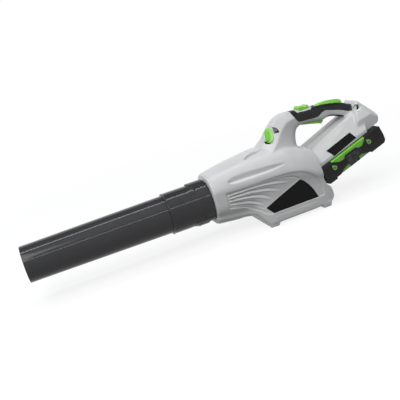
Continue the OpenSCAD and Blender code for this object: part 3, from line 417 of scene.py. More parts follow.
# station, roof height, roof half width, shoulder half width, shoulder height, side half width,
# corner half width, corner height, keel height
BODY_ROWS = [
    (1, 60.5, 20, 55, 20, 55, 42.5, -45.4, -58.6), (18, 64, 21, 57, 22, 57, 43, -47.4, -60.6),
    (48, 69, 22, 61, 23, 60, 46, -51, -63.4), (76, 73, 24, 66, 24, 63, 51, -54.5, -63.5),
    (90, 74.3, 24.7, 68, 24, 64.3, 57, -60, -66.5), (101, 75.3, 25.3, 69.7, 24, 65.5, 64, -76, -79),
    (112, 76.3, 26, 71.3, 24, 66.8, 68, SKIRT_Z, SKIRT_Z),
    (148, 78.5, 27, 74.5, 23, 68, 68, SKIRT_Z, SKIRT_Z), (188, 75, 28, 77, 19, 69, 68, SKIRT_Z, SKIRT_Z),
    (223, 63, 30, 77, 9, 69, 68, SKIRT_Z, SKIRT_Z), (248, 52, 32, 75, -4, 69, 68, SKIRT_Z, SKIRT_Z),
    (268, 41, 32, 71, -16, 68, 67, SKIRT_Z, SKIRT_Z),
    (285, 26, 30, 66, -24, 65, 64, SKIRT_Z + 6, SKIRT_Z + 6)]
BODY_SIDE = [(-10, -120), (262, -120), (272, SKIRT_Z), (284, -74), (282, -52), (276, -46),
             (270, -41), (264, -25), (263, 40), (263, 140), (-10, 140)]

# front or top point, rear or under point, half width, place of the crease between them (0 to 1),
# share of the half width that is left at the rear
HANDLE_ROWS = [
    (126, 50, 252, 32, 60, 0.10, 0.60), (134, 62, 248, 42, 55, 0.13, 0.60),
    (141, 71, 245, 50, 49, 0.18, 0.60), (150, 82, 241, 57, 42, 0.24, 0.65),
    (164, 95, 241, 68, 33, 0.30, 0.72), (177, 111, 244, 82, 28, 0.34, 0.74),
    (191, 125, 249, 93, 25.5, 0.38, 0.76), (206, 135, 256, 98.5, 24.5, 0.40, 0.80),
    (225, 139, 266, 101, 23, 0.42, 0.84), (245, 138, 274, 101.5, 21.5, 0.42, 0.86),
    (267, 136, 287, 100.5, 20, 0.33, 0.88), (298, 133.5, 304, 97.5, 18.5, 0.30, 0.90),
    (322, 132.3, 322, 94.5, 18, 0.30, 0.90), (334, 130.7, 332, 97, 17.5, 0.28, 0.90),
    (352, 127.8, 346, 96, 17, 0.28, 0.90), (375, 121.6, 364, 90, 17, 0.30, 0.90),
    (397, 111, 379, 82.5, 18, 0.32, 0.90), (413, 98, 389, 69, 20, 0.34, 0.90)]
FRONT_SHARE = 0.44    # of the half width at the front, and more of it on top of the grip

BLOCK_BROW = [(396, 100), (400.5, 112.5)]
BLOCK_TOP = [(406, 104), (409, 116.8), (418, 108.5), (449, 79), (457, 69), (455, 50), (400, 28), (382, 66)]
BLOCK_SIDE = [(388, 71.5), (394, 70.5), (427, 81.5), (442, 69), (438, 51), (398, 33), (384, 29)]
BLOCK_TAIL = [(440, 80), (449, 70), (448, 60), (441, 46)]

RUBBER_EDGE = [(240.5, 138), (242.7, 130), (245.2, 122.5), (249, 116.5), (255, 110.5), (278, 108.3),
               (300, 107), (308, 107.8), (316, 112.6), (324, 116), (331, 116), (341, 113),
               (355, 109.3), (370, 104.5), (382, 99.3), (389, 96.6), (394, 96.4), (397.5, 99), (399, 104)]
PAD_EDGE = [(325, 92), (328, 98), (333, 101.5), (343, 101), (353, 98.5), (363, 95), (372, 91),
            (379, 86), (381, 80)]
BADGE = [(203.5, -6.5), (212, -13.5), (221, -24), (228, -34), (234, -46), (240, -61), (180, -61),
         (125.5, -61), (111.5, -45)]
LABEL = [(294, 30), (364, 54), (373, 39), (308, 14)]
TRIGGER_SLOT = [(261.5, 90), (261.5, 113), (327.5, 113), (327.5, 85)]
LEVER_SLOT = [(307, 116), (307, 145), (382, 145), (382, 104)]
LEVER_TRIM = [(300, 90), (300, 131), (308.3, 132.8), (325.3, 135.0), (340, 135.2), (352.2, 134.6),
              (370, 131.8), (375.5, 129.6), (378, 126.2), (379, 121), (379.3, 90)]
SCREWS = [(401, 104, 15, -1), (222, 76, 15, 1), (70, 60, 28, 1), (60, -57, 22, 1),
          (258, -76, 55, 1), (122, -80, 55, 1)]


def body_ring(row, t):
    """The body's outline at a station, t inside its skin."""
    roof_z, roof_w = row[1] - t, row[2] - t / 2
    shoulder_w, shoulder_z = row[3] - t, row[4] - t / 2
    side_w, corner_w, corner_z, keel_z = row[5] - t, row[6] - t, row[7] + t, row[8] + t
    half = [(roof_w, roof_z),
            (roof_w + 0.66 * (shoulder_w - roof_w), shoulder_z + 0.72 * (roof_z - shoulder_z)),
            (shoulder_w, shoulder_z + 6), (shoulder_w, shoulder_z - 5), (side_w, -20),
            (corner_w, corner_z + 12), (corner_w, corner_z), (corner_w * 0.55, keel_z)]
    return spline_ring(half + [(-y, z) for y, z in half[::-1]], 12)


def body_form(t, name="body_form"):
    table = np.array(BODY_ROWS)
    stations = np.linspace(table[0, 0], table[-1, 0], 141)
    slopes = np.gradient(table, table[:, 0], axis=0)
    rings = []
    for x in stations:
        i = min(np.searchsorted(table[:, 0], x, side="right") - 1, len(table) - 2)
        gap = table[i + 1, 0] - table[i, 0]
        u = (x - table[i, 0]) / gap
        row = (table[i] * (1 + 2 * u) * (1 - u) ** 2 + slopes[i] * gap * u * (1 - u) ** 2
               + table[i + 1] * u * u * (3 - 2 * u) + slopes[i + 1] * gap * u * u * (u - 1))
        row[7:] = np.maximum(row[7:], SKIRT_Z)
        rings.append([(x, y, z) for y, z in body_ring(row, t)])
    obj = loft(name, rings)
    side = prism("body_side", [(x - t, z) if x > 200 else (x, z) for x, z in BODY_SIDE], -100, 100)
    return shaped(obj, side, "INTERSECT")


def spline_ring(corners, steps):
    """Quadratic B-spline round a closed polygon."""
    c = np.asarray(corners, float)
    p, r = np.roll(c, 1, 0), np.roll(c, -1, 0)
    t = np.arange(steps)[None, :, None] / steps
    ring = p[:, None] * (1 - t) ** 2 / 2 + c[:, None] * (0.5 + t - t * t) + r[:, None] * t * t / 2
    return ring.reshape(-1, 2)


def filleted(corners, radii, steps=5):
    """A closed outline with each corner rounded over its own length."""
    p = np.asarray(corners, float)
    out = []
    for i, radius in enumerate(radii):
        before, here, after = p[i - 1], p[i], p[(i + 1) % len(p)]
        a = here + (before - here) * min(0.45, radius / np.linalg.norm(before - here))
        b = here + (after - here) * min(0.45, radius / np.linalg.norm(after - here))
        for k in range(steps + 1):
            t = k / steps
            out.append(tuple(a * (1 - t) ** 2 + 2 * here * t * (1 - t) + b * t * t))
    return out


def handle_form(t, name="handle_form"):
    rings = []
    for fx, fz, rx, rz, half_w, crease, rear_share in smooth_path(HANDLE_ROWS, 8):
        front, rear = np.array([fx, fz]), np.array([rx, rz])
        depth = np.linalg.norm(front - rear)
        back = (rear - front) / depth
        front_w = half_w * (FRONT_SHARE + 0.18 * float(step(fx, 262, 296)))
        half = [(t, front_w - t / 2), (depth * crease, half_w - t),
                (depth * 0.84, half_w * rear_share - t), (depth - t, half_w * rear_share * 0.6 - t / 2)]
        ring = filleted(half + [(u, -y) for u, y in half[::-1]], [5, 3.5, 7, 7, 7, 7, 3.5, 5])
        rings.append([(fx + back[0] * u, y, fz + back[1] * u) for u, y in ring])
    return loft(name, rings)


def slab_form(t, name="slab_form"):
    points = []
    for x in (240 + t, 405 - t):
        top = 48.5 + (x - 283) * 0.39 - t
        low = -1.3 + (x - 267) * math.tan(math.radians(18))
        points += [(x, s * w, z) for s in (-1, 1)
                   for w, z in ((27 - t / 2, top), (55 - t, low + 8), (55 - t, low - 2))]
    return hull(name, points)


def shrunk(outline, middle, t):
    out = []
    for p in outline:
        d = Vector(p) - Vector(middle)
        out.append(tuple(Vector(p) - d.normalized() * t))
    return out


def block_form(t, name="block_form"):
    points = []
    for outline, middle, half in ((BLOCK_BROW, (415, 75), 16.5), (BLOCK_TOP, (415, 75), 25),
                                  (BLOCK_SIDE, (415, 58), 47), (BLOCK_TAIL, (415, 58), 41)):
        points += [(x, s * (half - t), z) for x, z in shrunk(outline, middle, t * 1.1) for s in (-1, 1)]
    return hull(name, points)


def foot(x):
    low, high = SKIRT_W - 1, SKIRT_W
    return hull("foot", [(x + dx, s * low, GROUND) for dx in (0, 20) for s in (-1, 1)]
                + [(x + dx, s * low, GROUND + 0.5) for dx in (0, 20) for s in (-1, 1)]
                + [(x + dx, s * high, SKIRT_Z + dz) for dx in (-1, 23) for dz in (4, 8) for s in (-1, 1)])


def dock_floor(z, name):
    """Everything below the dock plane, under the slab and the block."""
    return block(name, (-4, -100, -90), (320, 100, z), DOCK)


# ---- carved details

FLUTE = smooth_path([(42, 39.5), (62, 41), (92, 42), (125, 42.2), (150, 42.5), (178, 42.5)])
FIELD = np.vstack([smooth_path([(26, 18.5), (64, 18.5), (110, 20.5), (147, 21.5), (171, 21), (196, 17.5),
                                (221, 8), (242, -9), (255, -31), (259, -48)]),
                   [(259, -63.5), (118, -63.5)],
                   smooth_path([(104, -58), (95, -50), (83, -43), (67, -33), (46, -26), (26, -21.5)])])
TERRACE = np.vstack([smooth_path([(29, 12.5), (78, 13), (133, 12.5), (176, 9.5), (194, 5)]),
                     [(203, -3), (165, -22), (113, -44)],
                     smooth_path([(103, -45), (88, -36), (68, -27), (48, -21.5), (29, -18)])])
GROOVE = smooth_path([(24, 12.5), (78, 13), (133, 13), (176, 9.5), (196, 1.5), (206, -9)])
RIBS = [smooth_path(p, 10) for p in (
    [(28, 8.7), (56, 9.9), (81, 11.1), (108, 9.9), (135, 6.2), (164, -1.2), (184, -7)],
    [(28, 1.5), (54, 2.2), (79, 1.3), (102, -2), (123, -7), (146, -16), (158, -22)],
    [(27, -5.4), (50, -5.9), (70, -8.3), (87, -11.6), (105, -18), (124, -29), (132, -35)],
    [(27, -13), (43, -15.1), (56, -17.7), (73, -22.3), (88, -28.9), (100, -36.7), (107, -43)])]
SCOOP = [(96, 32.5), (103, 24), (110, 18.5), (118, 16.2), (130, 15.6), (146, 19.5), (152, 25),
         (144, 31.5), (124, 34.5)]     # in plan


def shell_detail(co, normals):
    side = co[:, [0, 2]]
    width = np.abs(co[:, 1])
    flank = step(width, 38, 46) * step(-co[:, 0], -268, -262)
    height = np.zeros(len(co))
    # long flute under the shoulder
    near, place, offset = along_path(side, FLUTE)
    half = np.interp(place, [0, 0.1, 0.35, 0.7, 1], [5, 8.8, 9.5, 7.5, 3])
    across = np.clip(offset / half, -1, 1)
    ends = step(side[:, 0], 38, 45) * step(-side[:, 0], -182, -146)
    wall = np.where(across > -0.25, step(-across, -1, 0.25), 1 - step(-across, 0.25, 0.95))
    height -= flank * 4.2 * ends * wall
    # field under the arch, its terrace, and the swept ribs in it
    height -= flank * 2.0 * step(inside_by(side, FIELD), 0, 2.8) * step(co[:, 0], 18, 30)
    terrace = flank * step(inside_by(side, TERRACE), 0, 2.2) * step(co[:, 0], 27, 42)
    height -= 0.9 * terrace
    near, place, offset = along_path(side, GROOVE)
    height -= flank * 1.5 * bump(offset, 1.7) * step(place, 0, 0.05) * (1 - step(place, 0.96, 1))
    for rib in RIBS:
        near, place, offset = along_path(side, rib)
        fade = step(side[:, 0] - rib[0][0], -1, 4) * (1 - step(place, 0.6, 1.0))
        drop = 3.7 + 2.5 * step(place, 0.3, 1)
        height += terrace * fade * (2.0 * bump(offset, 1.7) - 2.7 * bump(offset - drop, drop * 0.5))
    # ledge under the badge
    skirt = step(-co[:, 2], 70.5, 72.5) * step(co[:, 0], 118, 130) * step(-co[:, 0], -245, -225)
    height += step(width, 58, 62) * 0.8 * skirt
    # scoop at the foot of the neck, with a steep inner wall
    depth = step(inside_by(np.stack([co[:, 0], width], 1), SCOOP), -0.2, 1.2)
    depth *= np.interp(width, [16, 24, 35], [6.9, 6.2, 1.4]) * step(-co[:, 0], -156, -130)
    height -= depth * step(normals[:, 2], 0.1, 0.4)
    # pocket between the neck's rear and the slab
    middle = np.linalg.norm(np.stack([co[:, 0] - 240, width - 32, co[:, 2] - 51], 1), axis=1)
    return height - 3.3 * step(-middle, -10.5, -6.5)


def finer(obj, low, high, rounds=1):
    """Cuts the faces between two corners, taken on both flanks, twice as fine."""
    def cut(bm):
        edges = [e for e in bm.edges if all(
            low[0] < v.co.x < high[0] and low[1] < abs(v.co.y) < high[1] and low[2] < v.co.z < high[2]
            for v in e.verts)]
        bmesh.ops.subdivide_edges(bm, edges=edges, cuts=1, use_grid_fill=True, smooth=0.6)

    reworked(obj.data, cut)
    return relax(obj, rounds, lambda co: (np.abs(co[:, 1]) > low[1]).astype(float)
                 * (co[:, 0] > low[0]) * (co[:, 0] < high[0]) * (co[:, 2] > low[2]) * (co[:, 2] < high[2]))


def filled(obj, rounds, weight):
    """Fills concave corners, as mould radii do, and leaves creases that stand out."""
    co = points_of(obj.data)
    normals = normals_of(obj.data)
    way = smoothing(obj.data)
    share = 0.5 * weight(co)
    for _ in range(rounds):
        move = way(co)
        outward = np.sum(move * normals, 1)
        co = co + (share * (outward > 0))[:, None] * move
    put_points(obj.data, co)
    return obj


def junctions(co):
    """Where the neck grows out of the body, and where the handle and the slab meet the block."""
    x, y, z = co.T
    neck = step(x, 96, 118) * step(-x, -285, -262) * step(z, 38, 52) * step(-z, -112, -96)
    neck *= 1 - 0.4 * step(np.abs(y), 27, 36) * step(x, 150, 166)     # steeper at its sides
    rear = 0.7 * step(x, 340, 360) * step(-x, -420, -405) * step(z, 40, 52) * step(-z, -116, -104)
    return np.maximum(neck, rear)


def outer_shell():
    parts = [body_form(0), handle_form(0), slab_form(0), block_form(0), foot(111), foot(250)]
    obj = joined("outer_shell", parts)
    relax(voxels(obj, SHELL_VOXEL), 3)
    filled(obj, 90, junctions)
    relax(obj, 3)
    finer(obj, (22, 44, -46), (170, 80, 17))
    finer(obj, (94, 12, 55), (158, 37, 90))
    pushed(obj, shell_detail)
    relax(obj, 1)
    return shaped(obj, block("front_face", (-30, -120, -120), (5.02, 120, 160)))


def inner_space():
    body = body_form(BODY_WALL, "inner_body")
    shaped(body, block("front_stop", (7.8, -100, -120), (310, 100, 180)), "INTERSECT")
    top = joined("inner_top", [slab_form(SLAB_WALL), block_form(SLAB_WALL)])
    voxels(top, 2.0)
    shaped(top, block("floor_stop", (-150, -150, 2.7), (450, 150, 300), DOCK), "INTERSECT")
    obj = joined("inner_space", [body, handle_form(HANDLE_WALL, "inner_handle"), top])
    relax(voxels(obj, 1.6), 3)
    for x, z, depth, side in SCREWS:
        shaped(obj, pin_y("boss", x, z, 6, -90, 90, 20))
    return obj


def lever_way():
    return prism("lever_slot", LEVER_SLOT, -9.5, 9.5)


def trigger_way():
    return prism("trigger_slot", TRIGGER_SLOT, -7.5, 7.5)


def bezel_pocket():
    return pad("bezel_pocket", BOOST_KEY, (42.3, 29.3), 6, -13.7, 30)


def rubber_zone(grow):
    """The stretch of the handle that the rubber covers."""
    edge = smooth_path([(x, z + grow) for x, z in RUBBER_EDGE], 3)
    zone = prism("rubber_zone", [tuple(p) for p in edge] + [(399, 150), (243 + grow, 150)], -40, 40)
    return shaped(zone, block_form(-SEAT, "block_edge"))


def pad_zone(grow):
    edge = smooth_path([(x, z - grow) for x, z in PAD_EDGE], 3)
    zone = prism("pad_zone", [tuple(p) for p in edge] + [(381 - grow, 70), (325 + grow, 70)], -40, 40)
    shaped(zone, block_form(-SEAT, "block_edge"))
    return shaped(zone, handle_form(-0.5, "handle_edge"), "INTERSECT")


def housing_shell():
    obj = outer_shell()
    whole = twin(obj, "outer_whole")
    core = handle_form(RUBBER_T + SEAT, "handle_core")
    for zone in (rubber_zone(0), pad_zone(0)):
        shaped(zone, core, keep=True)
        shaped(obj, zone)
    discard(core)
    shaped(obj, inner_space())
    tools = [
        rod("rim_bore", 45.45, 0, 9),
        trigger_way(),
        lever_way(),
        bezel_pocket(),
        pad("slider_seat", SLIDER_KEY, (44, 28), 12, -0.6, 20),
        pad("slider_slot", SLIDER_KEY, (19, 11), 4, -14, 20),
        pad("slider_well", SLIDER, (24, 9), 4, -16, -6.5),
        pad("release_pocket", RELEASE, (32.6, 26.6), 6, -8, 22),
        block("floor_intake", (142, -50.15, GROUND - 1), (246, 50.15, GROUND + 15)),
        block("rear_intake", (270, -46.15, -72), (300, 46.15, -56)),
        dock_floor(0.3, "below_dock"),
        block("rail_channel", (-6, -40.65, -1), (172, 40.65, 7), DOCK),
        block("rail_exit", (100, -36.3, -1), (260, 36.3, 12.6), DOCK)]
    for tool in tools:
        shaped(obj, tool)
    x, z = SCREWS[0][:2]
    dish = loft("screw_dish", [[(x + r * 1.25 * c, y, z + r * 0.9 * s) for c, s in circle(1, 40)]
                               for y, r in ((-40, 13), (-25.6, 5.6), (-23.4, 4.6), (-21.8, 2.6))])
    shaped(obj, dish)
    shaped(obj, pin_y("head_room", x, z, 3.6, -19, -15, 24))
    shaped(obj, pin_y("driver_way", x, z, 1.2, -40, -15, 24))
    for x, z, depth, side in SCREWS[1:]:
        shaped(obj, pin_y("screw_way", x, z, 3.6, *sorted((side * depth, side * 100)), 24))
    for x, z, depth, side in SCREWS:
        shaped(obj, pin_y("screw_hole", x, z, 2.1, -15, 15, 16))
    core = body_form(2.65, "badge_core")
    for side in (-1, 1):
        pocket = prism("badge_pocket", grown(BADGE, 1.2 + SEAT), *sorted((side * 40, side * 90)))
        shaped(pocket, core, keep=True)
        shaped(obj, pocket)
        pocket = prism("label_pocket", LABEL, *sorted((side * 30, side * 60)))
        shaped(pocket, slab_form(1.15, "label_core"))
        shaped(obj, pocket)
    discard(core)
    return obj, whole


def grown(outline, grow, radius=1.5):
    """An outline with eased corners, moved outwards by grow."""
    p = np.asarray(outline, float)
    before, after = p - np.roll(p, 1, 0), np.roll(p, -1, 0) - p
    before /= np.linalg.norm(before, axis=1)[:, None]
    after /= np.linalg.norm(after, axis=1)[:, None]
    out_a, out_b = (np.stack([-d[:, 1], d[:, 0]], 1) for d in (before, after))
    if np.sum((p - p.mean(0)) * (out_a + out_b)) < 0:
        out_a, out_b = -out_a, -out_b
    bisector = out_a + out_b
    p = p + bisector / (1 + np.sum(out_a * out_b, 1))[:, None] * grow
    return filleted(p, [radius] * len(p), 3)


def half_of(obj, side, name):
    part = twin(obj, name)
    y0, y1 = sorted((side * 0.1, side * 200))
    return shaped(part, block("half", (-40, y0, -120), (500, y1, 200)), "INTERSECT")


# ---- materials


def surface(name):
    material = bpy.data.materials.new(name)
    material.use_nodes = True
    return material, material.node_tree, material.node_tree.nodes["Principled BSDF"]


def fed(tree, node, inputs):
    """Fills a shader node's inputs: a socket is linked, anything else is the input's own value."""
    for key, value in inputs.items():
        if isinstance(value, bpy.types.NodeSocket):
            tree.links.new(value, node.inputs[key])
        else:
            node.inputs[key].default_value = value
    return node


def added(tree, kind, inputs=None):
    return fed(tree, tree.nodes.new("ShaderNode" + kind), inputs or {})


def noise(tree, place, scale, detail, rough=0.5):
    return added(tree, "TexNoise", {"Vector": place, "Scale": scale, "Detail": detail,
                                    "Roughness": rough}).outputs["Fac"]


def span(tree, value, low, high, from_low=0.3, from_high=0.7):
    return added(tree, "MapRange", {"Value": value, "From Min": from_low, "From Max": from_high,
                                    "To Min": low, "To Max": high}).outputs["Result"]


def maths(tree, how, one, two):
    node = added(tree, "Math", {0: one, 1: two})
    node.operation = how
    return node.outputs[0]


def mixed(tree, share, one, two):
    node = added(tree, "Mix")
    node.data_type = "RGBA"
    one, two = ((*value, 1) if isinstance(value, tuple) else value for value in (one, two))
    return fed(tree, node, {0: share, 6: one, 7: two}).outputs[2]


def moulding(name, color, rough, grain=0.5, depth=0.02, mottle=0.05, wear=0.0, worn=None, coat=0.0,
             spread=0.08, metal=0.0, spec=0.5):
    """Moulded or plated surface: grain is the size of its texture in mm, depth its relief in mm."""
    material, tree, shader = surface(name)
    place = added(tree, "TexCoord").outputs["Object"]
    broad = noise(tree, place, 28, 3)
    fine = noise(tree, place, 1000 / grain, 2, 0.6)
    streak = noise(tree, place, 180, 4, 0.65)
    dark = tuple(c * (1 - mottle) for c in color)
    light = tuple(min(1, c * (1 + mottle)) for c in color)
    base = mixed(tree, span(tree, broad, 0, 1), dark, light)
    if wear:
        edge = span(tree, added(tree, "NewGeometry").outputs["Pointiness"], 0, wear, 0.52, 0.62)
        scuff = maths(tree, "MULTIPLY", edge, span(tree, streak, 0.2, 1, 0.4, 0.6))
        base = mixed(tree, scuff, base, worn or light)
    relief = added(tree, "Bump", {"Height": fine, "Strength": 1.0, "Distance": depth * MM})
    fed(tree, shader, {
        "Base Color": base, "Roughness": span(tree, streak, rough - spread, rough + spread),
        "Metallic": metal, "Specular IOR Level": spec, "Coat Weight": coat, "Coat Roughness": 0.12,
        "Normal": relief.outputs["Normal"]})
    return material


MATERIALS = {
    "shell": moulding("shell_grey", (0.52, 0.52, 0.515), 0.34, 0.6, 0.015, 0.03, 0.5, (0.64, 0.64, 0.635)),
    "ring": moulding("ring_grey", (0.54, 0.54, 0.535), 0.32, 0.6, 0.015, 0.02, 0.4, (0.66, 0.66, 0.655)),
    "rubber": moulding("grip_rubber", (0.009, 0.009, 0.010), 0.30, 0.35, 0.02, 0.15, 0.5,
                       (0.05, 0.05, 0.05), spec=0.28),
    "badge": moulding("badge_gloss", (0.003, 0.003, 0.003), 0.12, 1.2, 0.003, 0.2, spread=0.03, spec=0.11),
    "label": moulding("label_gloss", (0.004, 0.004, 0.004), 0.18, 1.0, 0.003, 0.2, spread=0.04, spec=0.13),
    "tube": moulding("tube_gloss", (0.034, 0.034, 0.036), 0.13, 1.6, 0.002, 0.05, 0.3, (0.07, 0.07, 0.07),
                     spread=0.02, spec=0.26),
    "collar_skin": moulding("collar_gloss", (0.030, 0.030, 0.032), 0.15, 1.4, 0.003, 0.05, 0.5,
                            (0.08, 0.08, 0.08), spread=0.02, spec=0.26),
    "dark_plastic": moulding("dark_plastic", (0.025, 0.025, 0.027), 0.5, 0.6, 0.03, 0.1),
    "grille": moulding("grille_black", (0.02, 0.02, 0.021), 0.55, 0.6, 0.03, 0.1),
    "green": moulding("control_green", (0.170, 0.520, 0.038), 0.30, 0.7, 0.012, 0.04, 0.5,
                      (0.30, 0.68, 0.12), coat=0.25),
    "pack_green": moulding("case_green", (0.150, 0.480, 0.035), 0.34, 0.7, 0.015, 0.05, 0.4,
                           (0.26, 0.62, 0.10)),
    "armour": moulding("armour_black", (0.009, 0.009, 0.010), 0.28, 0.5, 0.015, 0.12, 0.7,
                       (0.09, 0.09, 0.09), spec=0.2),
    "steel": moulding("plated_steel", (0.55, 0.56, 0.58), 0.3, 0.8, 0.01, 0.08, metal=1.0),
    "dark_steel": moulding("blackened_steel", (0.12, 0.12, 0.125), 0.4, 0.6, 0.01, 0.1, metal=0.9),
    "spring": moulding("spring_steel", (0.48, 0.49, 0.5), 0.34, 0.5, 0.01, 0.1, metal=1.0),
    "magnet": moulding("sintered", (0.14, 0.14, 0.15), 0.5, 0.3, 0.03, 0.15, metal=0.8),
    "laminations": moulding("laminations", (0.2, 0.2, 0.21), 0.45, 0.4, 0.04, 0.15, metal=0.9),
    "copper": moulding("copper_wire", (0.62, 0.26, 0.09), 0.32, 0.5, 0.06, 0.15, metal=1.0),
    "contact": moulding("contact_plate", (0.78, 0.6, 0.25), 0.25, 0.8, 0.01, 0.08, metal=1.0),
    "heat_sink": moulding("cast_tray", (0.6, 0.61, 0.63), 0.42, 0.4, 0.04, 0.08, metal=1.0),
    "board": moulding("board_green", (0.02, 0.13, 0.05), 0.3, 0.9, 0.02, 0.2, coat=0.3),
    "lead": moulding("lead_rubber", (0.02, 0.02, 0.02), 0.5, 0.5, 0.02, 0.1),
    "cell": moulding("cell_sleeve", (0.05, 0.13, 0.26), 0.3, 1.0, 0.01, 0.08),
    "window": moulding("smoked_window", (0.12, 0.14, 0.14), 0.15, 1.0, 0.004, 0.1, coat=0.5),
}

for part in frame["record"]["subparts"]:
    data = NODES[part["node"]].data
    data.materials.clear()
    kind = "dark_steel" if part["node"] == "pack_screws" else part["material_slot"]
    data.materials.append(MATERIALS[kind])

# ---- visible pieces

shell, whole = housing_shell()
for side, hand in ((-1, "left"), (1, "right")):
    finished(half_of(shell, side, hand), f"shell_{hand}", "housing", "shell",
             f"housing_{hand}")

grip = twin(whole, "grip_whole")
shaped(grip, rubber_zone(SEAT), "INTERSECT")
shaped(grip, handle_form(RUBBER_T, "grip_core"))
shaped(grip, lever_way())
shaped(grip, bezel_pocket())
for side, hand in ((-1, "left"), (1, "right")):
    half = half_of(grip, side, hand)
    relax(voxels(half, 0.6), 2)
    finished(half, f"rubber_{hand}", "housing", "rubber", f"grip_{hand}")
discard(grip)

under = twin(whole, "under")
shaped(under, pad_zone(SEAT), "INTERSECT")
shaped(under, handle_form(RUBBER_T, "pad_core"))
shaped(under, trigger_way())
relax(voxels(under, 0.6), 2)
finished(under, "finger_pad", "housing", "rubber", "underhandle_pad")
discard(whole, shell)

for side, hand in ((-1, "left"), (1, "right")):
    plate = body_form(0.9, "plate")
    shaped(plate, prism("badge_edge", grown(BADGE, 1.2), *sorted((side * 40, side * 90))), "INTERSECT")
    shaped(plate, body_form(2.5, "badge_core"))
    relax(voxels(plate, 0.5), 3)
    finished(plate, f"side_badge_{hand}", "housing", "badge", f"badge_{hand}")
    strip = moulded(f"label_{hand}", "strip", 0.4, 3)
    finished(strip, f"label_strip_{hand}", "housing", "label", f"label_{hand}")


def arc(cx, cr, radius, a0, a1, steps=5):
    """Profile points (station, radius) round a small corner of a lathe."""
    return [(cx + radius * math.cos(math.radians(a0 + (a1 - a0) * k / steps)),
             cr + radius * math.sin(math.radians(a0 + (a1 - a0) * k / steps))) for k in range(steps + 1)]


RING_SHARES = [(-0.5, 0.93), (0.3, 0.955), (1.2, 0.975), (2.6, 0.99), (5.0, 0.998), (8.0, 1.002)]
ring = loft("ring", [[(x, y * share, z * share) for y, z in body_ring(BODY_ROWS[0], 0)]
                     for x, share in RING_SHARES])
shaped(ring, rod("ring_bore", 45.45, -5, 10))
relax(voxels(ring, 0.7), 3)
shaped(ring, block("ring_span", (0, -80, -80), (4.98, 80, 80)), "INTERSECT")
finished(ring, "front_ring", "housing", "ring", "nose_ring")

NOZZLE_FRONT, COLLAR_FRONT, NOZZLE_END, LAND = -428.0, -103.0, -65.0, -398.0
nozzle = lathe("nozzle", arc(NOZZLE_FRONT + 1, 40, 1.0, 180, 90, 4)
               + [(LAND, 41.0), (LAND + 6, 41.12), (COLLAR_FRONT, 44.2), (NOZZLE_END - 2, 44.2),
                  (NOZZLE_END, 43.4), (NOZZLE_END, 42.2), (COLLAR_FRONT, 42.2), (LAND + 6, 39.1),
                  (LAND, 39.0)] + arc(NOZZLE_FRONT + 1, 40, 1.0, 270, 180, 4)[:-1], 192)
finished(nozzle, "blow_nozzle", "nozzle", "tube", "nozzle")

COLLAR_R, COVER_R, CHANNEL_R = 47.8, 50.4, 48.6
COLLAR_BORE = [(-2.0, 45.6), (-54.8, 45.6), (-62.1, 41.6), (-64.7, 41.6), (-64.7, 44.5), (-103.0, 44.5)]
ENTRIES = (75.3, -44.7, -164.7)     # where the spigot's lugs go in, in degrees from the viewer's side
LUG_FRONT, LUG_REAR = -44.4, -35.6
CLIP = (-64.0, -42.0, -16.0)        # the clip under the collar: angle, front, rear


def between(value, low, high, edge):
    return step(value, low - edge, low + edge) * (1 - step(value, high - edge, high + edge))


def away(angles, middle):
    return (angles - middle + 180) % 360 - 180


def collar_skin(x, angles):
    """The collar's outer radius, with its bead, lug covers and clip."""
    rise = 0.9 * bump(x + 101.6, 1.2) * np.ones(len(angles))
    for k, middle in enumerate(ENTRIES):
        off = away(angles, middle)
        foot = between(off, -28.5, 8.5, 6) * between(x, LUG_FRONT - 3.4, LUG_REAR + 3.4, 4.5)
        cover = between(off, -9.5, 7, 1.0) * step(x, LUG_REAR, LUG_REAR + 2)
        rise = np.maximum(rise, np.maximum(1.9 * foot, (COVER_R - COLLAR_R) * cover))
    off = away(angles, 84)
    front = -43.5 + 6 * np.clip((17 - off) / 34, 0, 1)
    rise = np.maximum(rise, 3.5 * between(off, -17.5, 17, 0.9) * step(x, front - 0.7, front + 0.7)
                      * step(-x, 2.6, 4.2))
    off = away(angles, CLIP[0])
    rise = np.maximum(rise, 3.2 * between(off, -14, 14, 1.2) * between(x, CLIP[1], CLIP[2], 0.8))
    return COLLAR_R + rise - 0.8 * step(-x, 102.2, 103) - 0.5 * step(x, -2.7, -2)


def collar_bore(x, radius, angles):
    for middle in ENTRIES:
        off = away(angles, middle)
        inside = (np.abs(off) < 6.3) & (x > LUG_FRONT)
        inside |= (off > -24.3) & (off < 6.3) & (x > LUG_FRONT) & (x < LUG_REAR)
        radius = np.where(inside, CHANNEL_R, radius)
    return radius


def ring_at(x, radius, angles):
    a = np.radians(angles)
    return np.stack([np.full(len(a), x), -radius * np.cos(a), radius * np.sin(a)], 1)


def wrapped(outline, middle, x, low, high):
    """A raised figure on the collar, from its flat outline in (along, round)."""
    start = math.radians(middle)
    return loft("wrapped", [[(x + u, -r * math.cos(start + v / r), r * math.sin(start + v / r))
                             for u, v in outline] for r in (low, high)])


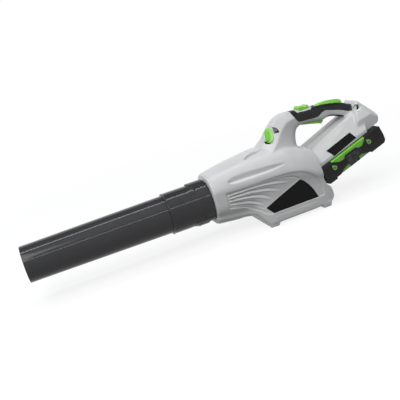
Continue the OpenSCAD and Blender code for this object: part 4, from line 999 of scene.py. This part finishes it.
angles = np.arange(0, 360, 0.9)
skin = [ring_at(x, collar_skin(x, angles), angles) for x in np.linspace(-103, -2, 136)]
bore_x = (*np.arange(-2, LUG_REAR + 0.5, -2.5), LUG_REAR + 0.01, LUG_REAR - 0.01, -40,
          LUG_FRONT + 0.01, LUG_FRONT - 0.01)
stations = [(x, COLLAR_BORE[0][1]) for x in bore_x] + COLLAR_BORE[1:]
bore = [ring_at(x, collar_bore(x, r, angles), angles) for x, r in stations]
rows = skin + bore
collar = closed("collar", np.concatenate(rows), quads(len(rows), len(angles), True))
badge_ring = wrapped(circle(6.4, 40), -24, -28.3, 46.5, 48.6)
shaped(badge_ring, wrapped(circle(4.9, 40), -24, -28.3, 45, 50))
dash = wrapped(round_box(9, 2.4, 1.1), -40.5, -28.8, 46.5, 48.6)
for mark in (badge_ring, dash):
    shaped(mark, rod("under_skin", 47.0, -60, 0))
collar = joined("collar", [collar, badge_ring, dash])
finished(collar, "twist_collar", "collar", "collar_skin", "collar")

BOOST_TOP = [(-15.4, 5.2, 8.5), (-14.4, 7.4, 10), (-12, 8.5, 11.2), (-8.5, 8.7, 11.8), (-4, 7.2, 12),
             (0, 6.7, 12), (4, 7.2, 12), (8.5, 8.7, 11.8), (12, 8.5, 11.2), (14.4, 7.4, 10),
             (15.4, 5.2, 8.5)]    # station, top, half width
key = loft("boost", [[(x, s * y, z) for s, y, z in (
    (-1, w, -6), (-1, w, top - 4), (-1, w - 1, top - 1.6), (-1, w - 3.2, top), (1, w - 3.2, top),
    (1, w - 1, top - 1.6), (1, w, top - 4), (1, w, -6))] for x, top, w in BOOST_TOP])
relax(voxels(key, 0.35), 5)
key.data.transform(BOOST_KEY)
finished(key, "boost_key", "boost_button", "green", "boost_button")

rim = pad("boost_rim", BOOST_KEY, (42, 29), 5.9, -5, 12)
shaped(rim, handle_form(-0.9, "rim_top"), "INTERSECT")
shaped(rim, pad("key_way", BOOST_KEY, (31.8, 25), 6, -20, 30))
relax(voxels(rim, 0.4), 3)
finished(rim, "boost_rim", "housing", "shell", "boost_bezel")

CREST = [(-15.5, 1.6, 4), (-14, 3.6, 5.6), (-11, 5.4, 6.6), (-6, 6.3, 7), (0, 6.6, 7), (6, 6.3, 7),
         (11, 5.4, 6.6), (14, 3.6, 5.6), (15.5, 1.6, 4)]     # station, top, half width
slider = joined("slider", [
    pad("base", Matrix(), (36, 20), 9.6, -0.4, 1.9), pad("stem", Matrix(), (9, 5), 1, -11, 1),
    loft("body", [[(x, 1.5 + y, z) for y, z in (
        (-w, 0), (-w, min(1.6, top)), (-1.5, top * 0.72), (1.2, top), (3.4, top * 0.94),
        (w, min(1.8, top)), (w, 0))] for x, top, w in CREST])]
    + [pad("ridge", at(x, 2.4, 0), (1.1, 7), 0.5, 3, 7.0)
       for x in (-7.5, -2.5, 2.5, 7.5)])
relax(voxels(slider, 0.35), 4)
slider.data.transform(SLIDER_KEY)
finished(slider, "speed_key", "speed_slider", "green", "speed_slider")


def sector(apex, radius, start, stop, inner=0.0, steps=16):
    angles = [math.radians(start + (stop - start) * k / steps) for k in range(steps + 1)]
    out = [(apex[0] + radius * math.cos(a), apex[1] + radius * math.sin(a)) for a in angles]
    back = [(apex[0] + inner * math.cos(a), apex[1] + inner * math.sin(a)) for a in angles[::-1]]
    return out + (back if inner else [apex])


def dial_piece(name, outline, lift, sink):
    """A piece of the speed dial, lying on the neck's slanted face."""
    piece = loft(name, [[(x, y, z) for x, y in outline] for z in (-12, 12)])
    piece.data.transform(ICON)
    shaped(piece, handle_form(-lift, "dial_top"), "INTERSECT")
    return shaped(piece, handle_form(sink, "dial_bed"))


DIAL_APEX = (-10.5, 0.5)
dial = dial_piece("dial", filleted(sector(DIAL_APEX, 15.5, -52, 46), [0.3] * 17 + [1.5], 2), 0.5, 1.0)
marks = joined("marks", [
    dial_piece("mark", sector(DIAL_APEX, r, -32 + 4 * k, 26 - 4 * k, r - 0.8), 0.75, -0.3)
    for k, r in enumerate((12.6, 9.4, 6.2))])
slide = SLIDER.to_3x3() @ Vector((1, 0, 0))
for travel in (-3, 0, 3):
    key_place = Matrix.Translation(travel * slide) @ SLIDER_KEY
    for piece in (dial, marks):
        shaped(piece, pad("key_path", key_place, (37.6, 21.6), 10, -6, 14))
finished(dial, "dial_plate", "housing", "label", "icon_plate")
finished(marks, "dial_marks", "housing", "shell")

RELEASE_RISE = 1.6    # how far the release button stands above the solid's
# node, piece, voxel, rounds of smoothing, the frame its flats lie in, side view it is cut to
CONTROLS = [
    ("palm_lever", "palm_bar", 0.4, 8, None, LEVER_TRIM),
    ("trigger", "trigger_key", 0.35, 8, None, None),
    ("release_button", "release_key", 0.4, 3, RELEASE, None)]
for node, name, voxel, rounds, place, trim in CONTROLS:
    within = prism("trim", trim, -20, 20) if trim else None
    piece = moulded(node, name, voxel, rounds, place, within)
    if place is not None:
        piece.data.transform(place @ at(0, 0, RELEASE_RISE) @ place.inverted())
    finished(piece, name, node, "green", node)

# node, piece, joint, direction it shortens in, end that stays, how far the other end is pressed
SPRINGS = [
    ("lever_spring", "lever_coil", "lever_press", Vector((0, 0, 1)), -1, 3.5),
    ("trigger_spring", "trigger_coil", "trigger_pull", Vector((0, 0, 1)), 1, 3.7),
    ("release_spring", "release_coil", "release_press", RELEASE.to_3x3() @ Vector((0, 0, 1)), -1, 3.0)]
for node, name, joint, way, stays, travel in SPRINGS:
    piece = from_node(node, name)
    along = points_of(piece.data) @ np.array(way)
    middle = Vector(points_of(piece.data).mean(0))
    finished(piece, name, "housing", "spring", node)
    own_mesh(piece)

PACK = [("pack_upper_case", "case_top", "pack_green"), ("pack_lower_case", "case_base", "pack_green"),
        ("pack_front_cap", "armour_front", "armour"), ("pack_rear_cap", "armour_rear", "armour")]
# per cap: from and to of its half of the belt, the same of the belt's foot, place of the rib
BELT = {"armour_front": ((63, 84.85), (67, 84.85), 24.6),
        "armour_rear": ((85.15, 100), (85.15, 95), 130)}
BELT_SECTION = [(60, -13.5), (63.2, -14.5), (63.6, -16), (63.6, -28), (62.5, -31), (60, -31)]
FOOT_SECTION = [(58.6, -32), (61.3, -32), (59.0, -43.5), (57.2, -43.5)]
RIB_SECTION = [(62.3, -33), (59.0, -33), (60.5, -42.5), (57.0, -42.5)]
GAUGE = (169.9, 0, -16)       # the bottom of the gauge button's bore at full press
BEVEL_Z, BEVEL_SHIFT = [-50, -48.5, -37, -29], [5.4, 5.0, -1.6, 0]


def bevelled(piece):
    """Turns the pack's flanks in from the crease at half their height."""
    co = points_of(piece.data)
    width = np.abs(co[:, 1])
    shift = np.interp(co[:, 2], BEVEL_Z, BEVEL_SHIFT) * step(width, 34, 52)
    co[:, 1] += np.sign(co[:, 1]) * shift
    put_points(piece.data, co)
    return piece


for node, name, slot in PACK:
    piece = from_node(node, name)
    piece.data.transform(DOCK.inverted())
    relax(voxels(piece, 0.8), 2)
    if node != "pack_upper_case":
        bevelled(piece)
    if name in BELT:
        (u0, u1), (v0, v1), rib = BELT[name]
        for side in (-1, 1):
            belt = [(u, side * y, z) for u in (u0, u1) for y, z in BELT_SECTION]
            belt_foot = [(v, side * y, z) for v in (v0, v1) for y, z in FOOT_SECTION]
            slant = [(rib + du + 1.5 * (z < -40), side * y, z) for du in (-0.8, 0.8)
                     for y, z in RIB_SECTION]
            for points in (belt, belt_foot, slant):
                shaped(piece, hull("added", points), "UNION")
    if name == "armour_rear":
        shaped(piece, pad("gauge_bore", at(*GAUGE) @ turned("Y", 90), (10.9, 10.9), 5.4, 0, 9))
    piece.data.transform(DOCK)
    finished(piece, name, "battery", slot, node)

# ---- camera, light, floor

FOCAL_PX, FRAME_PX = 580.0, 400.0
YAW, PITCH, ROLL = (math.radians(a) for a in (14.3, 17.0, 15.27))
DISTANCE = FOCAL_PX * 2.265
AIM_PX = (167.0, 214.3)           # where the picture shows the aim point
AIM = Vector((-102, 0, 0))        # on the duct's axis, at the collar's front end

turn = Matrix.Rotation(ROLL, 3, "Z") @ Matrix.Rotation(PITCH, 3, "X")
base = Matrix(((math.cos(YAW), -math.sin(YAW), 0), (0, 0, 1), (-math.sin(YAW), -math.cos(YAW), 0)))
view = turn @ base
aim_x, aim_y = ((v - FRAME_PX / 2) / FOCAL_PX for v in AIM_PX)
offset = Vector((aim_x, -aim_y, -1)) * DISTANCE
eye = AIM - view.transposed() @ offset

data = bpy.data.cameras.new("camera")
data.sensor_width = 36
data.lens = 36 * FOCAL_PX / FRAME_PX
camera = link("camera", data)
camera.matrix_world = Matrix.Translation(FROM_DUCT @ eye) @ view.transposed().to_4x4()
bpy.context.scene.camera = camera


def lamp(name, place, aim, size, power, tint=(1, 1, 1)):
    data = bpy.data.lights.new(name, "AREA")
    data.shape = "RECTANGLE"
    data.size, data.size_y = size
    data.energy = power
    data.color = tint
    obj = link(name, data)
    obj.location = place
    obj.rotation_euler = (Vector(aim) - Vector(place)).to_track_quat("-Z", "Y").to_euler()


def polar(elevation, azimuth, distance, middle=(0, 0, 0.1)):
    """A place at a height angle over the viewer's side, azimuth 0 at -Y and + towards +X."""
    e, a = math.radians(elevation), math.radians(azimuth)
    way = Vector((math.cos(e) * math.sin(a), -math.cos(e) * math.cos(a), math.sin(e)))
    return Vector(middle) + distance * way


lamp("top_strip", polar(97, 4, 2.0), (0, 0, 0.08), (2.8, 0.19), 18, (0.95, 0.98, 1.0))
lamp("overhead", polar(66, 4, 2.0), (0, 0, 0.08), (2.8, 1.5), 14)
lamp("low_strip", polar(38, 4, 2.1), (0, 0, 0.08), (2.6, 0.12), 8)
lamp("key", polar(48, -52, 2.3), (0.05, 0, 0.1), (1.6, 1.3), 27)


def seen_directly(tree):
    """1 for rays from the camera, and for what gloss and glass show."""
    path = added(tree, "LightPath")
    value = path.outputs["Is Camera Ray"]
    for name in ("Is Glossy Ray", "Is Transmission Ray"):
        value = maths(tree, "MAXIMUM", value, path.outputs[name])
    return value


world = bpy.data.worlds.new("world")
world.use_nodes = True
bpy.context.scene.world = world
tree = world.node_tree
tree.nodes.clear()
height = added(tree, "SeparateXYZ", {0: added(tree, "TexCoord").outputs["Generated"]}).outputs["Z"]
ceiling = span(tree, height, 0, 1, 0.42, 0.7)     # the backdrop ends overhead
backdrop = mixed(tree, ceiling, (1.0, 1.0, 1.0), (0.05, 0.05, 0.05))
seen = added(tree, "Background", {"Color": backdrop, "Strength": 1.0})
around = added(tree, "Background", {"Color": (0.85, 0.9, 1.0, 1), "Strength": 0.24})
mix = added(tree, "MixShader", {"Fac": seen_directly(tree), 1: around.outputs[0], 2: seen.outputs[0]})
added(tree, "OutputWorld", {"Surface": mix.outputs[0]})

half = 6.0
floor_mesh = bpy.data.meshes.new("floor")
floor_mesh.from_pydata([(-half, -half, 0), (half, -half, 0), (half, half, 0), (-half, half, 0)], [],
                       [(0, 1, 2, 3)])
floor = link("floor", floor_mesh)
material, tree, shader = surface("floor_white")
reach = added(tree, "VectorMath")
reach.operation = "LENGTH"
fed(tree, reach, {0: added(tree, "TexCoord").outputs["Object"]})
near = span(tree, reach.outputs["Value"], 1, 0, 0.55, 1.5)     # the shadow's surroundings
fed(tree, shader, {
    "Base Color": mixed(tree, near, (0.0, 0.0, 0.0), (0.16, 0.16, 0.16)),
    "Emission Color": mixed(tree, near, (1.0, 1.0, 1.0), (0.83, 0.83, 0.83)),
    "Emission Strength": seen_directly(tree), "Roughness": 0.9, "Specular IOR Level": 0.1})
floor_mesh.materials.append(material)

bpy.context.scene.view_settings.view_transform = "Standard"
